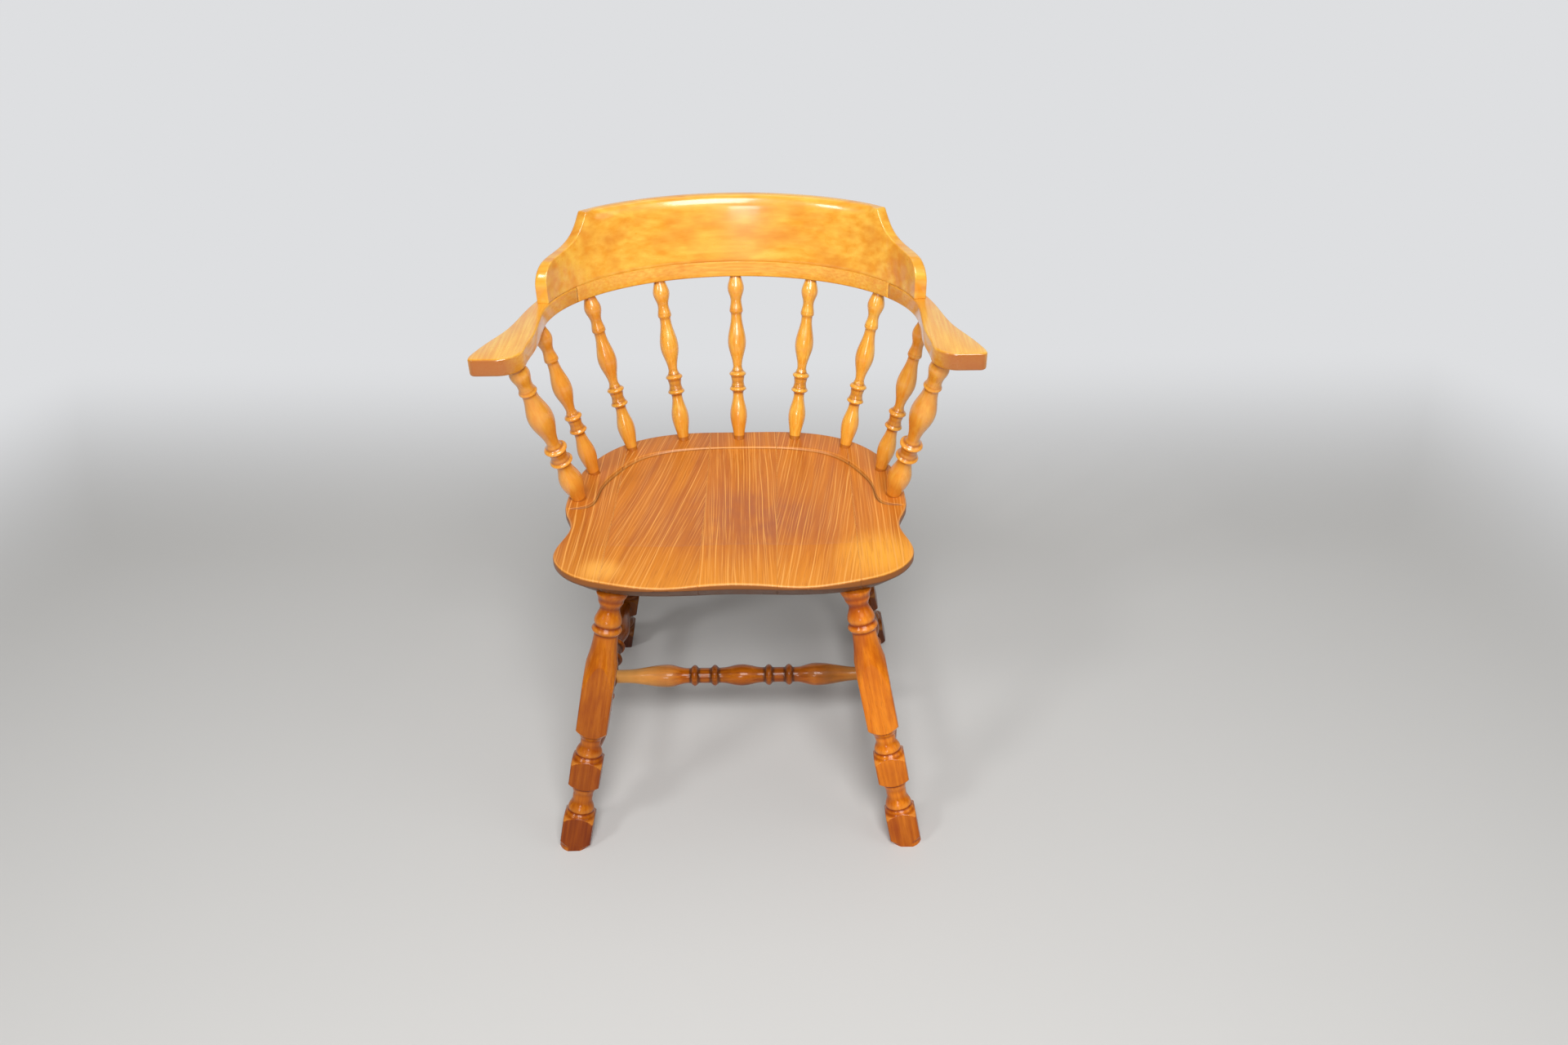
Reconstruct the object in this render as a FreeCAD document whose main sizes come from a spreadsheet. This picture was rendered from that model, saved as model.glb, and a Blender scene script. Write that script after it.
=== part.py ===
import FreeCAD, Part
import math
import os
import Sketcher
from FreeCAD import Placement, Rotation, Vector

# Captain's chair in the firehouse pattern: a saddled seat of edge-glued boards on four turned legs
# with an H-stretcher, seven back spindles and two heavier arm posts, and a flat arm bow that carries
# a raked crest rail. Millimetres, +Z up, the sitter faces -Y. The origin is on the floor under the
# middle of the chair's box.

# Driving dimensions

SIZES = {
    # seat
    "seat_height": 425.0,
    "seat_thickness": 35.0,
    "seat_edge_band": 14.0,
    "seat_edge_ease": 3.0,
    "seat_under_inset": 18.0,
    "seat_half_width": 248.5,
    "seat_lobe_half_width": 251.0,
    "seat_waist_half_width": 235.5,
    "seat_lobe_reach": 10.0,
    "seat_lobe_half_length": 13.0,
    "seat_waist_reach": 61.0,
    "seat_corner_reach": 135.0,
    "seat_front_reach": 206.0,
    "seat_back_reach": 206.0,
    "seat_front_flat": 84.0,
    "dish_depth": 9.0,
    "dish_step": 1.0,
    "deck_margin": 33.0,
    "pommel_relief": 2.0,
    "pommel_set_back": 3.0,
    "pommel_width": 34.0,
    "thigh_relief": 7.0,
    "thigh_hollow_side": 92.4,
    "thigh_hollow_width": 62.0,
    "board_joint_far_left": 178.0,
    "board_joint_near_left": 46.0,
    "board_joint_near_right": 60.0,
    "board_joint_far_right": 172.0,
    # spindle places on the seat, each a distance beside and behind the plan centre
    "centre_base_back": 186.0,
    "inner_base_side": 89.0,
    "inner_base_back": 184.0,
    "quarter_base_side": 168.6,
    "quarter_base_back": 154.0,
    "flank_base_side": 219.0,
    "flank_base_back": 82.0,
    "post_base_side": 231.8,
    "post_base_back": 10.0,
    # arm bow
    "arm_height": 695.0,
    "bow_thickness": 24.5,
    "bow_half_width": 273.0,
    "bow_depth": 199.5,
    "bow_width": 22.5,
    "bow_centre_back": 63.0,
    "inner_top_angle": 25.2,
    "quarter_top_angle": 52.2,
    "flank_top_angle": 86.0,
    "post_top_side": 281.0,
    "post_top_front": 51.0,
    "arm_joint_angle": 60.0,
    "paw_front": 85.0,
    "paw_half_reach": 334.5,
    "paw_inner_radius": 25.0,
    "paw_outer_radius": 8.0,
    "paw_inner_stand": 4.0,
    "arm_edge_round": 3.0,
    # crest rail
    "crest_height": 96.0,
    "crest_rake": 17.0,
    "crest_thickness": 21.0,
    "crest_end_angle": 77.0,
    "crest_end_height": 28.0,
    "crest_shelf_height": 50.0,
    "crest_shelf_start": 26.0,
    "crest_corner_angle": 48.8,
    "crest_front_round": 8.0,
    "crest_back_round": 4.0,
    # turned spindles and posts
    "spindle_end": 17.0,
    "spindle_swell": 26.5,
    "spindle_neck": 15.0,
    "spindle_ring": 26.5,
    "spindle_waist": 18.6,
    "spindle_collar": 20.5,
    "spindle_head": 23.5,
    "spindle_tenon": 12.0,
    "post_girth": 1.27,
    "tenon_in_seat": 18.0,
    "tenon_in_bow": 13.0,
    # legs
    "leg_square": 44.0,
    "leg_bead": 40.0,
    "leg_neck": 27.5,
    "leg_foot": 52.0,
    "leg_vase_neck": 31.0,
    "leg_collar": 41.0,
    "leg_bell": 37.0,
    "leg_cup": 42.0,
    "leg_cup_neck": 27.0,
    "leg_tenon": 25.0,
    "leg_tenon_length": 20.0,
    "front_foot_side": 243.8,
    "front_foot_front": 265.0,
    "front_top_side": 165.3,
    "front_top_front": 166.3,
    "rear_foot_side": 230.0,
    "rear_foot_back": 199.0,
    "rear_top_side": 152.0,
    "rear_top_back": 102.0,
    # stretchers
    "stretcher_height": 113.5,
    "stretcher_end": 21.0,
    "stretcher_vase": 36.0,
    "stretcher_ring": 34.0,
    "stretcher_swell": 34.0,
    "stretcher_neck": 24.0,
    "ring_width": 8.0,
    "inner_ring_offset": 43.0,
    "outer_ring_offset": 75.0,
    "vase_offset": 118.0,
    "side_stretcher_seat": 18.0,
    "cross_stretcher_seat": 11.0,
    # hidden fastenings
    "dowel": 10.0,
    "dowel_length": 44.0,
    "crest_dowel_angle": 38.0,
    "fit_clearance": 0.1,
}

# Turned work is turned this far about its own axis, so that its seam lies clear of every flat.
SEAM_TURN = 30.0

doc = FreeCAD.newDocument("captains_chair")
sheet = doc.addObject("Spreadsheet::Sheet", "Sizes")
for row, (alias, size) in enumerate(SIZES.items(), start=1):
    sheet.set(f"A{row}", alias)
    sheet.set(f"B{row}", str(size))
    sheet.setAlias(f"B{row}", alias)
doc.recompute()

nodes = []


def cell(alias):
    return float(getattr(sheet, alias))


def node(thing, label):
    thing.Label = label
    nodes.append(thing)
    return thing


def plan_shift():
    """Moves the plan centre so that the origin lies under the middle of the whole box."""
    under = cell("seat_height") - cell("seat_thickness")
    slant = Vector(cell("front_foot_side") - cell("front_top_side"),
                   cell("front_foot_front") - cell("front_top_front"), under).Length / under
    front = cell("front_foot_front") + cell("leg_square") / 2 * slant
    back = cell("bow_centre_back") + cell("bow_depth") - cell("bow_width") / 2
    back += cell("crest_rake") + cell("crest_thickness")
    return (front - back) / 2


SHIFT = plan_shift()


def at(side, back, height=0.0):
    return Vector(side, back + SHIFT, height)


# Shared tools for turned work


def turned_body(name, outline):
    """A lathe-turned body on its own Z axis. The outline is a list of (along, radius) formulas;
    an item with four formulas is an arc that passes through its first pair and ends at its second."""
    body = doc.addObject("PartDesign::Body", name)
    sketch = body.newObject("Sketcher::SketchObject", name + "_outline")
    plane = [item for item in body.Origin.OriginFeatures if item.Role == "XZ_Plane"][0]
    sketch.AttachmentSupport = [(plane, "")]
    sketch.MapMode = "FlatFace"
    geometry = []
    rules = []
    formulas = {}

    def spot(along, radius):
        return Vector(float(sheet.evalExpression(radius)), float(sheet.evalExpression(along)), 0)

    def draw(shape):
        geometry.append(shape)
        return len(geometry) - 1

    def rule(*terms, formula=None):
        if formula is not None:
            formulas[len(rules)] = formula
        rules.append(Sketcher.Constraint(*terms))

    def pin(piece, end, along, radius):
        place = spot(along, radius)
        rule("DistanceX", -1, 1, piece, end, place.x, formula=radius)
        rule("DistanceY", -1, 1, piece, end, place.y, formula=along)

    place = Vector(spot(*outline[0]).x, 0, 0)
    last, last_end = draw(Part.LineSegment(Vector(0, 0, 0), place)), 2
    rule("Coincident", last, 1, -1, 1)
    rule("Horizontal", last)
    rule("DistanceX", -1, 1, last, 2, place.x, formula=outline[0][1])
    for item in outline[1:]:
        finish = spot(*item[-2:])
        start_end, finish_end = 1, 2
        if len(item) == 2:
            piece = draw(Part.LineSegment(place, finish))
        else:
            middle = spot(*item[:2])
            arc = Part.Arc(place, middle, finish)
            piece = draw(arc)
            if arc.toShape().Curve.Axis.z < 0:
                start_end, finish_end = 2, 1
            crown = draw(Part.Point(middle))
            rule("PointOnObject", crown, 1, piece)
            pin(crown, 1, *item[:2])
        rule("Coincident", piece, start_end, last, last_end)
        pin(piece, finish_end, *item[-2:])
        last, last_end, place = piece, finish_end, finish
    top = draw(Part.LineSegment(place, Vector(0, place.y, 0)))
    rule("Coincident", top, 1, last, last_end)
    rule("PointOnObject", top, 2, -2)
    rule("Horizontal", top)
    axis = draw(Part.LineSegment(Vector(0, place.y, 0), Vector(0, 0, 0)))
    rule("Coincident", axis, 1, top, 2)
    rule("Coincident", axis, 2, -1, 1)
    sketch.addGeometry(geometry, False)
    for index, shape in enumerate(geometry):
        if isinstance(shape, Part.Point):
            sketch.setConstruction(index, True)
    sketch.addConstraint(rules)
    for index, formula in formulas.items():
        sketch.setExpression(f"Constraints[{index}]", formula)
    spin = body.newObject("PartDesign::Revolution", name + "_turning")
    spin.Profile = sketch
    spin.ReferenceAxis = (sketch, ["V_Axis"])
    spin.Angle = 360.0
    return body


def along_axis(start, end, spin=0.0):
    """Placement that stands a thing's own Z axis on the line from start to end, turned by spin."""
    lean = Rotation(Vector(0, 0, 1), end - start)
    return Placement(start, lean.multiply(Rotation(Vector(0, 0, 1), spin)))


def rod(name, diameter, start, end, spare="0"):
    """A round rod between two points, for tenons and for the holes that receive them."""
    cylinder = doc.addObject("Part::Cylinder", name)
    cylinder.setExpression("Radius", f"({diameter}) / 2 + {spare}")
    cylinder.Height = (end - start).Length
    cylinder.Placement = along_axis(start, end)
    return cylinder


def slab(name, low, high):
    """A wide level slab between two heights, which trims turned ends flush with flat faces."""
    box = doc.addObject("Part::Box", name)
    reach = 2 * cell("paw_half_reach")
    box.Length = 2 * reach
    box.Width = 2 * reach
    box.setExpression("Height", f"({high}) - ({low})")
    box.Placement.Base = Vector(-reach, -reach, float(sheet.evalExpression(low)))
    return box


def common(name, base, tool):
    thing = doc.addObject("Part::Common", name)
    thing.Base = base
    thing.Tool = tool
    return thing


def fused(name, shapes):
    thing = doc.addObject("Part::MultiFuse", name)
    thing.Shapes = shapes
    return thing


def cut(name, base, tool):
    thing = doc.addObject("Part::Cut", name)
    thing.Base = base
    thing.Tool = tool
    return thing


def flat_sketch(name, wire_edges, height):
    """A level sketch at a height, holding a closed chain of edges given in plan."""
    sketch = doc.addObject("Sketcher::SketchObject", name)
    sketch.Placement = Placement(Vector(0, 0, height), Rotation())
    for edge in wire_edges:
        sketch.addGeometry(edge)
    return sketch


def prism(name, sketch, height, upward=True):
    block = doc.addObject("Part::Extrusion", name)
    block.Base = sketch
    block.DirMode = "Custom"
    block.Dir = Vector(0, 0, 1 if upward else -1)
    block.setExpression("LengthFwd", height)
    block.Solid = True
    return block


def spline(points, start_tangent=None, end_tangent=None):
    curve = Part.BSplineCurve()
    if start_tangent is None:
        curve.interpolate(points)
    else:
        curve.interpolate(Points=points, InitialTangent=start_tangent, FinalTangent=end_tangent)
    return curve


# Where the spindles, legs and stretchers run


def bow_point(angle, offset=0.0):
    """A point of the bow's centre line, by its angle from straight back, moved outward by offset."""
    turn = math.radians(angle)
    side = (cell("bow_half_width") + offset) * math.sin(turn)
    back = cell("bow_centre_back") + (cell("bow_depth") + offset) * math.cos(turn)
    return at(side, back)


def lifted(point, height):
    return Vector(point.x, point.y, height)


def spindle_lines():
    """Names, bases on the deck and tops under the bow, from the left post around to the right."""
    deck = cell("seat_height")
    under = cell("arm_height") - cell("bow_thickness")
    rows = [("arm_post", at(cell("post_base_side"), cell("post_base_back")),
             at(cell("post_top_side"), -cell("post_top_front")))]
    for name in ("flank", "quarter", "inner"):
        base = at(cell(name + "_base_side"), cell(name + "_base_back"))
        rows.append(("spindle", base, bow_point(cell(name + "_top_angle"))))
    centre = ("spindle", at(0, cell("centre_base_back")), bow_point(0))
    left = [(kind, Vector(-base.x, base.y, 0), Vector(-top.x, top.y, 0)) for kind, base, top in rows]
    chain = left + [centre] + rows[::-1]
    return [(kind, lifted(base, deck), lifted(top, under)) for kind, base, top in chain]


def leg_line(side, end):
    """Floor point and seat point of a leg's axis; side is -1 or 1, end is front or rear."""
    under = cell("seat_height") - cell("seat_thickness")
    if end == "front":
        foot = at(side * cell("front_foot_side"), -cell("front_foot_front"))
        top = at(side * cell("front_top_side"), -cell("front_top_front"), under)
    else:
        foot = at(side * cell("rear_foot_side"), cell("rear_foot_back"))
        top = at(side * cell("rear_top_side"), cell("rear_top_back"), under)
    return foot, top


def on_line(foot, top, height):
    return foot + (top - foot) * ((height - foot.z) / (top.z - foot.z))


# Spindles and arm posts


def spindle_outline(length, girth, spare):
    """Vase, two rings, long vase and an acorn head, in shares of the visible length, with a plain
    spare end at both ends that is trimmed off flush."""
    def size(alias):
        return f"Sizes.{alias} / 2 * {girth}"

    def share(part):
        return f"{spare} + {length} * {part}"

    end, neck, waist = size("spindle_end"), size("spindle_neck"), size("spindle_waist")
    swell, ring = size("spindle_swell"), size("spindle_ring")
    collar, head = size("spindle_collar"), size("spindle_head")
    return [
        ("0", end),
        (f"{spare}", end),
        (share(0.16), swell, share(0.284), neck),
        (share(0.297), waist),
        (share(0.314), ring, share(0.331), waist),
        (share(0.362), end, share(0.394), waist),
        (share(0.413), ring, share(0.432), waist),
        (share(0.45), neck, share(0.466), neck),
        (share(0.596), swell, share(0.764), neck),
        (share(0.779), waist),
        (share(0.797), collar, share(0.822), waist),
        (share(0.867), end),
        (share(0.935), head, share(1.0), end),
        (f"{spare} * 2 + {length}", end),
    ]


between_deck_and_bow = slab("between_deck_and_bow", "Sizes.seat_height",
                            "Sizes.arm_height - Sizes.bow_thickness")
seat_holes = []
bow_holes = []
lines = spindle_lines()
for index, (kind, base, top) in enumerate(lines):
    if kind == "arm_post":
        label = "arm_post_left" if index == 0 else "arm_post_right"
        girth = "Sizes.post_girth"
    else:
        label = f"back_spindle_{index}"
        girth = "1"
    step = (top - base) * (1 / (top - base).Length)
    length = (top - base).Length
    spare_end = cell("spindle_end")
    turning = turned_body(label + "_turned", spindle_outline(length, girth, spare_end))
    turning.Placement = along_axis(base - step * spare_end, top, SEAM_TURN)
    tenon_low = base - step * cell("tenon_in_seat")
    tenon_high = top + step * cell("tenon_in_bow")
    tenon_size = f"Sizes.spindle_tenon * {girth}"
    tenon = rod(label + "_tenons", tenon_size, tenon_low, tenon_high)
    trimmed = common(label + "_trimmed", turning, between_deck_and_bow)
    node(fused(label, [trimmed, tenon]), label)
    spare = step * cell("fit_clearance")
    seat_holes.append(rod(label + "_seat_hole", tenon_size, tenon_low - spare,
                          base + step * cell("tenon_in_seat"), "Sizes.fit_clearance"))
    bow_holes.append(rod(label + "_bow_hole", tenon_size, top - step * cell("tenon_in_bow"),
                         tenon_high + spare, "Sizes.fit_clearance"))

# Legs


def leg_outline(length, spare):
    """From the foot up, in shares of the length: foot block, disc and bell, stretcher block, disc and
    bell, long square vase, collar, bell and cup. A block is turned wider than the square, so its
    flats stay flat and its ends get the arched shoulders that a lathe leaves."""
    corner, shoulder = "Sizes.leg_square * 0.75", "Sizes.leg_square * 0.485"
    round_corner = "Sizes.leg_square * 0.645"
    disc, groove = "Sizes.leg_bead / 2", "Sizes.leg_bead * 0.46"
    disc_top, neck = "Sizes.leg_bead * 0.43", "Sizes.leg_neck / 2"
    near_neck, below_block = "Sizes.leg_neck * 0.525", "Sizes.leg_neck * 0.57"
    vase_neck, collar = "Sizes.leg_vase_neck / 2", "Sizes.leg_collar / 2"
    collar_edge, bell = "Sizes.leg_collar * 0.43", "Sizes.leg_bell / 2"
    bell_waist, cup_neck = "Sizes.leg_bell * 0.42", "Sizes.leg_cup_neck / 2"
    cup_base, cup = "Sizes.leg_cup * 0.4", "Sizes.leg_cup / 2"

    def up(share):
        return f"{spare} + {length} * {share}"

    return [
        ("0", "Sizes.leg_square / 2"),
        (up(0.0), "Sizes.leg_foot / 2", up(0.030), corner),
        (up(0.102), corner),
        (up(0.1205), round_corner, up(0.131), shoulder),
        (up(0.133), groove),
        (up(0.142), disc, up(0.155), disc_top),
        (up(0.167), near_neck, up(0.181), neck),
        (up(0.213), below_block, up(0.240), shoulder),
        (up(0.253), round_corner, up(0.276), corner),
        (up(0.331), corner),
        (up(0.350), round_corner, up(0.361), shoulder),
        (up(0.363), groove),
        (up(0.372), disc, up(0.385), disc_top),
        (up(0.396), near_neck, up(0.410), neck),
        (up(0.430), below_block, up(0.450), shoulder),
        (up(0.468), round_corner, up(0.497), corner),
        (up(0.630), corner),
        (up(0.735), "Sizes.leg_square / 2", up(0.848), vase_neck),
        (up(0.862), collar_edge),
        (up(0.876), collar, up(0.890), collar_edge),
        (up(0.901), bell, up(0.915), bell_waist),
        (up(0.930), "Sizes.leg_cup_neck * 0.52", up(0.946), cup_neck),
        (up(0.964), "Sizes.leg_cup_neck * 0.53"),
        (up(0.967), cup_base),
        (up(0.982), "Sizes.leg_cup * 0.475", up(1.0), cup),
        (f"{up(1.0)} + {spare}", cup),
    ]


from_floor_to_seat = slab("from_floor_to_seat", "0", "Sizes.seat_height - Sizes.seat_thickness")
leg_holes = []
stretcher_height = cell("stretcher_height")
for side, hand in ((-1, "left"), (1, "right")):
    for end in ("front", "rear"):
        label = f"leg_{end}_{hand}"
        foot, top = leg_line(side, end)
        step = (top - foot) * (1 / (top - foot).Length)
        spare = cell("leg_square") / 3
        start = foot - step * spare
        turning = turned_body(label + "_turned", leg_outline((top - foot).Length, spare))
        turning.Placement = along_axis(start, top, SEAM_TURN)
        square = doc.addObject("Part::Box", label + "_square")
        square.setExpression("Length", "Sizes.leg_square")
        square.setExpression("Width", "Sizes.leg_square")
        square.Height = (top - start).Length + spare
        half = cell("leg_square") / 2
        square.Placement = along_axis(start, top).multiply(Placement(Vector(-half, -half, 0), Rotation()))
        shaped = common(label + "_shaped", turning, square)
        trimmed = common(label + "_trimmed", shaped, from_floor_to_seat)
        tenon_top = top + step * cell("leg_tenon_length")
        tenon = rod(label + "_tenon", "Sizes.leg_tenon", top - step * cell("leg_tenon_length"), tenon_top)
        whole = fused(label + "_whole", [trimmed, tenon])
        meeting = on_line(foot, top, stretcher_height)
        other_foot, other_top = leg_line(side, "rear" if end == "front" else "front")
        inward = on_line(other_foot, other_top, stretcher_height) - meeting
        inward = inward * (1 / inward.Length)
        socket_end = meeting + inward * (half - cell("side_stretcher_seat") - cell("fit_clearance"))
        socket = rod(label + "_socket", "Sizes.stretcher_end", socket_end, meeting + inward * (2 * half),
                     "Sizes.fit_clearance")
        node(cut(label, whole, socket), label)
        leg_holes.append(rod(label + "_seat_hole", "Sizes.leg_tenon", top - step * cell("leg_tenon_length"),
                             tenon_top + step * cell("fit_clearance"), "Sizes.fit_clearance"))


# H-stretcher


def stretcher_outline(length):
    """Vase, two rings, centre swell, two rings and vase, the same from either end."""
    middle = length / 2
    end, vase = "Sizes.stretcher_end / 2", "Sizes.stretcher_vase / 2"
    ring, swell, neck = "Sizes.stretcher_ring / 2", "Sizes.stretcher_swell / 2", "Sizes.stretcher_neck / 2"
    inner, outer, half_ring = "Sizes.inner_ring_offset", "Sizes.outer_ring_offset", "Sizes.ring_width / 2"

    def ring_at(sign, offset):
        before, after = ("+", "-") if sign == "-" else ("-", "+")
        return [
            (f"{middle} {sign} ({offset} {before} {half_ring})", neck),
            (f"{middle} {sign} {offset}", ring, f"{middle} {sign} ({offset} {after} {half_ring})", neck),
        ]

    rising = ring_at("-", outer) + ring_at("-", inner)
    falling = ring_at("+", inner) + ring_at("+", outer)
    vase_low = (f"{middle} - Sizes.vase_offset", vase)
    vase_high = (f"{middle} + Sizes.vase_offset", vase)
    swell_start = f"{middle} - ({inner} - {half_ring}) / 2"
    swell_end = f"{middle} + ({inner} - {half_ring}) / 2"
    swell_foot = "(Sizes.stretcher_neck * 0.6 + Sizes.stretcher_swell * 0.4) / 2"
    return [
        ("0", end),
        ("Sizes.leg_square / 2", end),
        vase_low + rising[0],
        *rising[1:],
        (swell_start, swell_foot),
        (f"{middle}", swell, swell_end, swell_foot),
        *falling,
        vase_high + (f"{length} - Sizes.leg_square / 2", end),
        (f"{length}", end),
    ]


side_middles = {}
for side, hand in ((-1, "left"), (1, "right")):
    label = f"side_stretcher_{hand}"
    ends = [on_line(*leg_line(side, end), stretcher_height) for end in ("front", "rear")]
    step = (ends[1] - ends[0]) * (1 / (ends[1] - ends[0]).Length)
    inset = cell("leg_square") / 2 - cell("side_stretcher_seat")
    low, high = ends[0] + step * inset, ends[1] - step * inset
    turning = turned_body(label + "_turned", stretcher_outline((high - low).Length))
    turning.Placement = along_axis(low, high)
    middle = (low + high) * 0.5
    side_middles[side] = middle
    inward = Vector(-side, 0, 0)
    socket_depth = cell("cross_stretcher_seat") + cell("fit_clearance")
    socket_start = middle + inward * (cell("stretcher_swell") / 2 - socket_depth)
    socket = rod(label + "_socket", "Sizes.stretcher_end", socket_start,
                 socket_start + inward * cell("stretcher_swell"), "Sizes.fit_clearance")
    node(cut(label, turning, socket), label)

reach = cell("stretcher_swell") / 2 - cell("cross_stretcher_seat")
cross_start = side_middles[-1] + Vector(reach, 0, 0)
cross_end = side_middles[1] - Vector(reach, 0, 0)
cross = turned_body("cross_stretcher_turned", stretcher_outline((cross_end - cross_start).Length))
cross.Placement = along_axis(cross_start, cross_end)
node(cross, "cross_stretcher")


# Saddled seat


def seat_plan(inset=0.0):
    """Right-hand edge points of the seat, from the middle of the back to the middle of the front."""
    back = cell("seat_back_reach")
    corner = cell("seat_corner_reach")
    front = cell("seat_front_reach")
    half = cell("seat_half_width")
    lobe = cell("seat_lobe_half_width")
    middle = (back - front) / 2
    lobe_reach, lobe_length = cell("seat_lobe_reach"), cell("seat_lobe_half_length")
    points = [
        (0.0, back),
        (0.38 * half, 0.985 * back),
        (0.74 * half, 0.815 * back),
        (0.957 * half, 0.427 * back),
        (0.996 * lobe, lobe_length - lobe_reach),
        (0.988 * lobe, -lobe_length - lobe_reach),
        (cell("seat_waist_half_width"), -cell("seat_waist_reach")),
        (half, -corner),
        (0.945 * half, 0.58 * -corner + 0.42 * -front),
        (0.85 * half, 0.30 * -corner + 0.70 * -front),
        (0.70 * half, 0.11 * -corner + 0.89 * -front),
        (cell("seat_front_flat"), -front),
        (0.0, -front + cell("pommel_set_back")),
    ]
    across = (half - inset) / half
    along = (front + back - 2 * inset) / (front + back)
    return [at(side * across, middle + (y - middle) * along) for side, y in points]


def seat_wire(inset, height):
    """The seat's outline at one height: a right and a left half that meet square to the middle."""
    points = seat_plan(inset)
    outward = Vector(1, 0, 0)
    right = spline(points, outward, -outward)
    left = spline([Vector(-point.x, point.y, 0) for point in points], -outward, outward)
    return flat_sketch(f"seat_edge_{round(height)}", [right, left], height)


seat_top = cell("seat_height")
seat_sections = [
    seat_wire(cell("seat_edge_ease"), seat_top),
    seat_wire(0.0, seat_top - cell("seat_edge_ease")),
    seat_wire(0.0, seat_top - cell("seat_edge_band")),
    seat_wire(cell("seat_under_inset"), seat_top - cell("seat_thickness")),
]
seat_blank = doc.addObject("Part::Loft", "seat_blank")
seat_blank.Sections = seat_sections
seat_blank.Solid = True
seat_blank.Ruled = True


def deck_line():
    """Right-hand points of the line where the spindle deck steps down into the dish."""
    margin = cell("deck_margin")
    return [
        at(0.0, cell("centre_base_back") - margin),
        at(cell("inner_base_side"), cell("inner_base_back") - 1.06 * margin),
        at(cell("quarter_base_side") - 0.5 * margin, cell("quarter_base_back") - 0.85 * margin),
        at(cell("flank_base_side") - 0.95 * margin, cell("flank_base_back") - 0.1 * margin),
        at(cell("post_base_side") - 0.85 * margin, cell("post_base_back") + 0.7 * margin),
        at(cell("post_base_side") - 0.5 * margin, cell("post_base_back") - 0.6 * margin),
        at(cell("post_base_side"), cell("post_base_back") - 0.82 * margin),
        at(cell("seat_lobe_half_width") + margin, cell("post_base_back") - 0.75 * margin),
    ]


def saddle_depth(side, back):
    """How far the dish lies under the deck: a bowl behind, two thigh hollows and a pommel in front."""
    ease, bowl_share, bowl_ease = 2.5, 0.74, 0.6
    edge = cell("centre_base_back") - cell("deck_margin")
    across = min(abs(side) / cell("seat_half_width"), 1.0)
    along = min(max((edge - back) / (edge + cell("seat_front_reach")), 0.0), 1.0)
    bowl = (1 - across ** ease) * math.sin(math.pi * min(along / bowl_share, 1.0)) ** bowl_ease
    hollow = math.exp(-((abs(side) - cell("thigh_hollow_side")) / cell("thigh_hollow_width")) ** 2)
    pommel = math.exp(-(side / cell("pommel_width")) ** 2)
    front_depth = cell("thigh_relief") * hollow + cell("pommel_relief") * pommel
    fade = along ** ease
    return cell("dish_step") + cell("dish_depth") * bowl * (1 - fade) + front_depth * fade


def saddle_surface():
    """A smooth face through a grid of depths, wider than the seat on every side."""
    columns, rows, beyond = 17, 15, 1.15
    half = cell("seat_half_width") * beyond
    back, front = cell("seat_back_reach") * beyond, -cell("seat_front_reach") * beyond
    grid = []
    for column in range(columns):
        side = -half + 2 * half * column / (columns - 1)
        line = []
        for row in range(rows):
            y = front + (back - front) * row / (rows - 1)
            line.append(at(side, y, seat_top - saddle_depth(side, y)))
        grid.append(line)
    surface = Part.BSplineSurface()
    surface.interpolate(grid)
    return surface.toShape()


saddle_block = doc.addObject("Part::Feature", "saddle_block")
saddle_block.Shape = saddle_surface().extrude(Vector(0, 0, 4 * cell("dish_depth")))
line_points = deck_line()
rim = [Vector(-point.x, point.y, 0) for point in reversed(line_points[1:])] + line_points
far_front = -cell("seat_front_reach") * 1.2 + SHIFT
corner_left = Vector(rim[0].x, far_front, 0)
corner_right = Vector(rim[-1].x, far_front, 0)
dish_plan = flat_sketch("dish_plan", [
    spline(rim),
    Part.LineSegment(rim[-1], corner_right),
    Part.LineSegment(corner_right, corner_left),
    Part.LineSegment(corner_left, rim[0]),
], seat_top - cell("dish_depth") * 1.5)
dish_zone = prism("dish_zone", dish_plan, "Sizes.dish_depth * 3")
dish_cutter = common("dish_cutter", common("dish_part", seat_blank, dish_zone), saddle_block)
dished = cut("seat_dished", seat_blank, dish_cutter)
drilled = cut("seat_drilled", dished, fused("seat_holes", seat_holes + leg_holes))

joints = [-cell("paw_half_reach"), -cell("board_joint_far_left"), -cell("board_joint_near_left"),
          cell("board_joint_near_right"), cell("board_joint_far_right"), cell("paw_half_reach")]
for number, (left_edge, right_edge) in enumerate(zip(joints, joints[1:]), start=1):
    strip = doc.addObject("Part::Box", f"seat_strip_{number}")
    strip.Length = right_edge - left_edge
    strip.Width = 2 * cell("paw_half_reach")
    strip.Height = 2 * cell("seat_thickness")
    strip.Placement.Base = Vector(left_edge, -cell("paw_half_reach"), seat_top - cell("seat_thickness") * 1.5)
    label = f"seat_board_{number}"
    node(common(label, drilled, strip), label)


# Arm bow


def bow_arc(offset, start, end):
    """An elliptical arc of the bow, offset from its centre line, between two angles from back."""
    ellipse = Part.Ellipse(at(0, cell("bow_centre_back")), cell("bow_half_width") + offset,
                           cell("bow_depth") + offset)
    return Part.ArcOfEllipse(ellipse, math.pi / 2 - math.radians(end), math.pi / 2 - math.radians(start))


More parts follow.
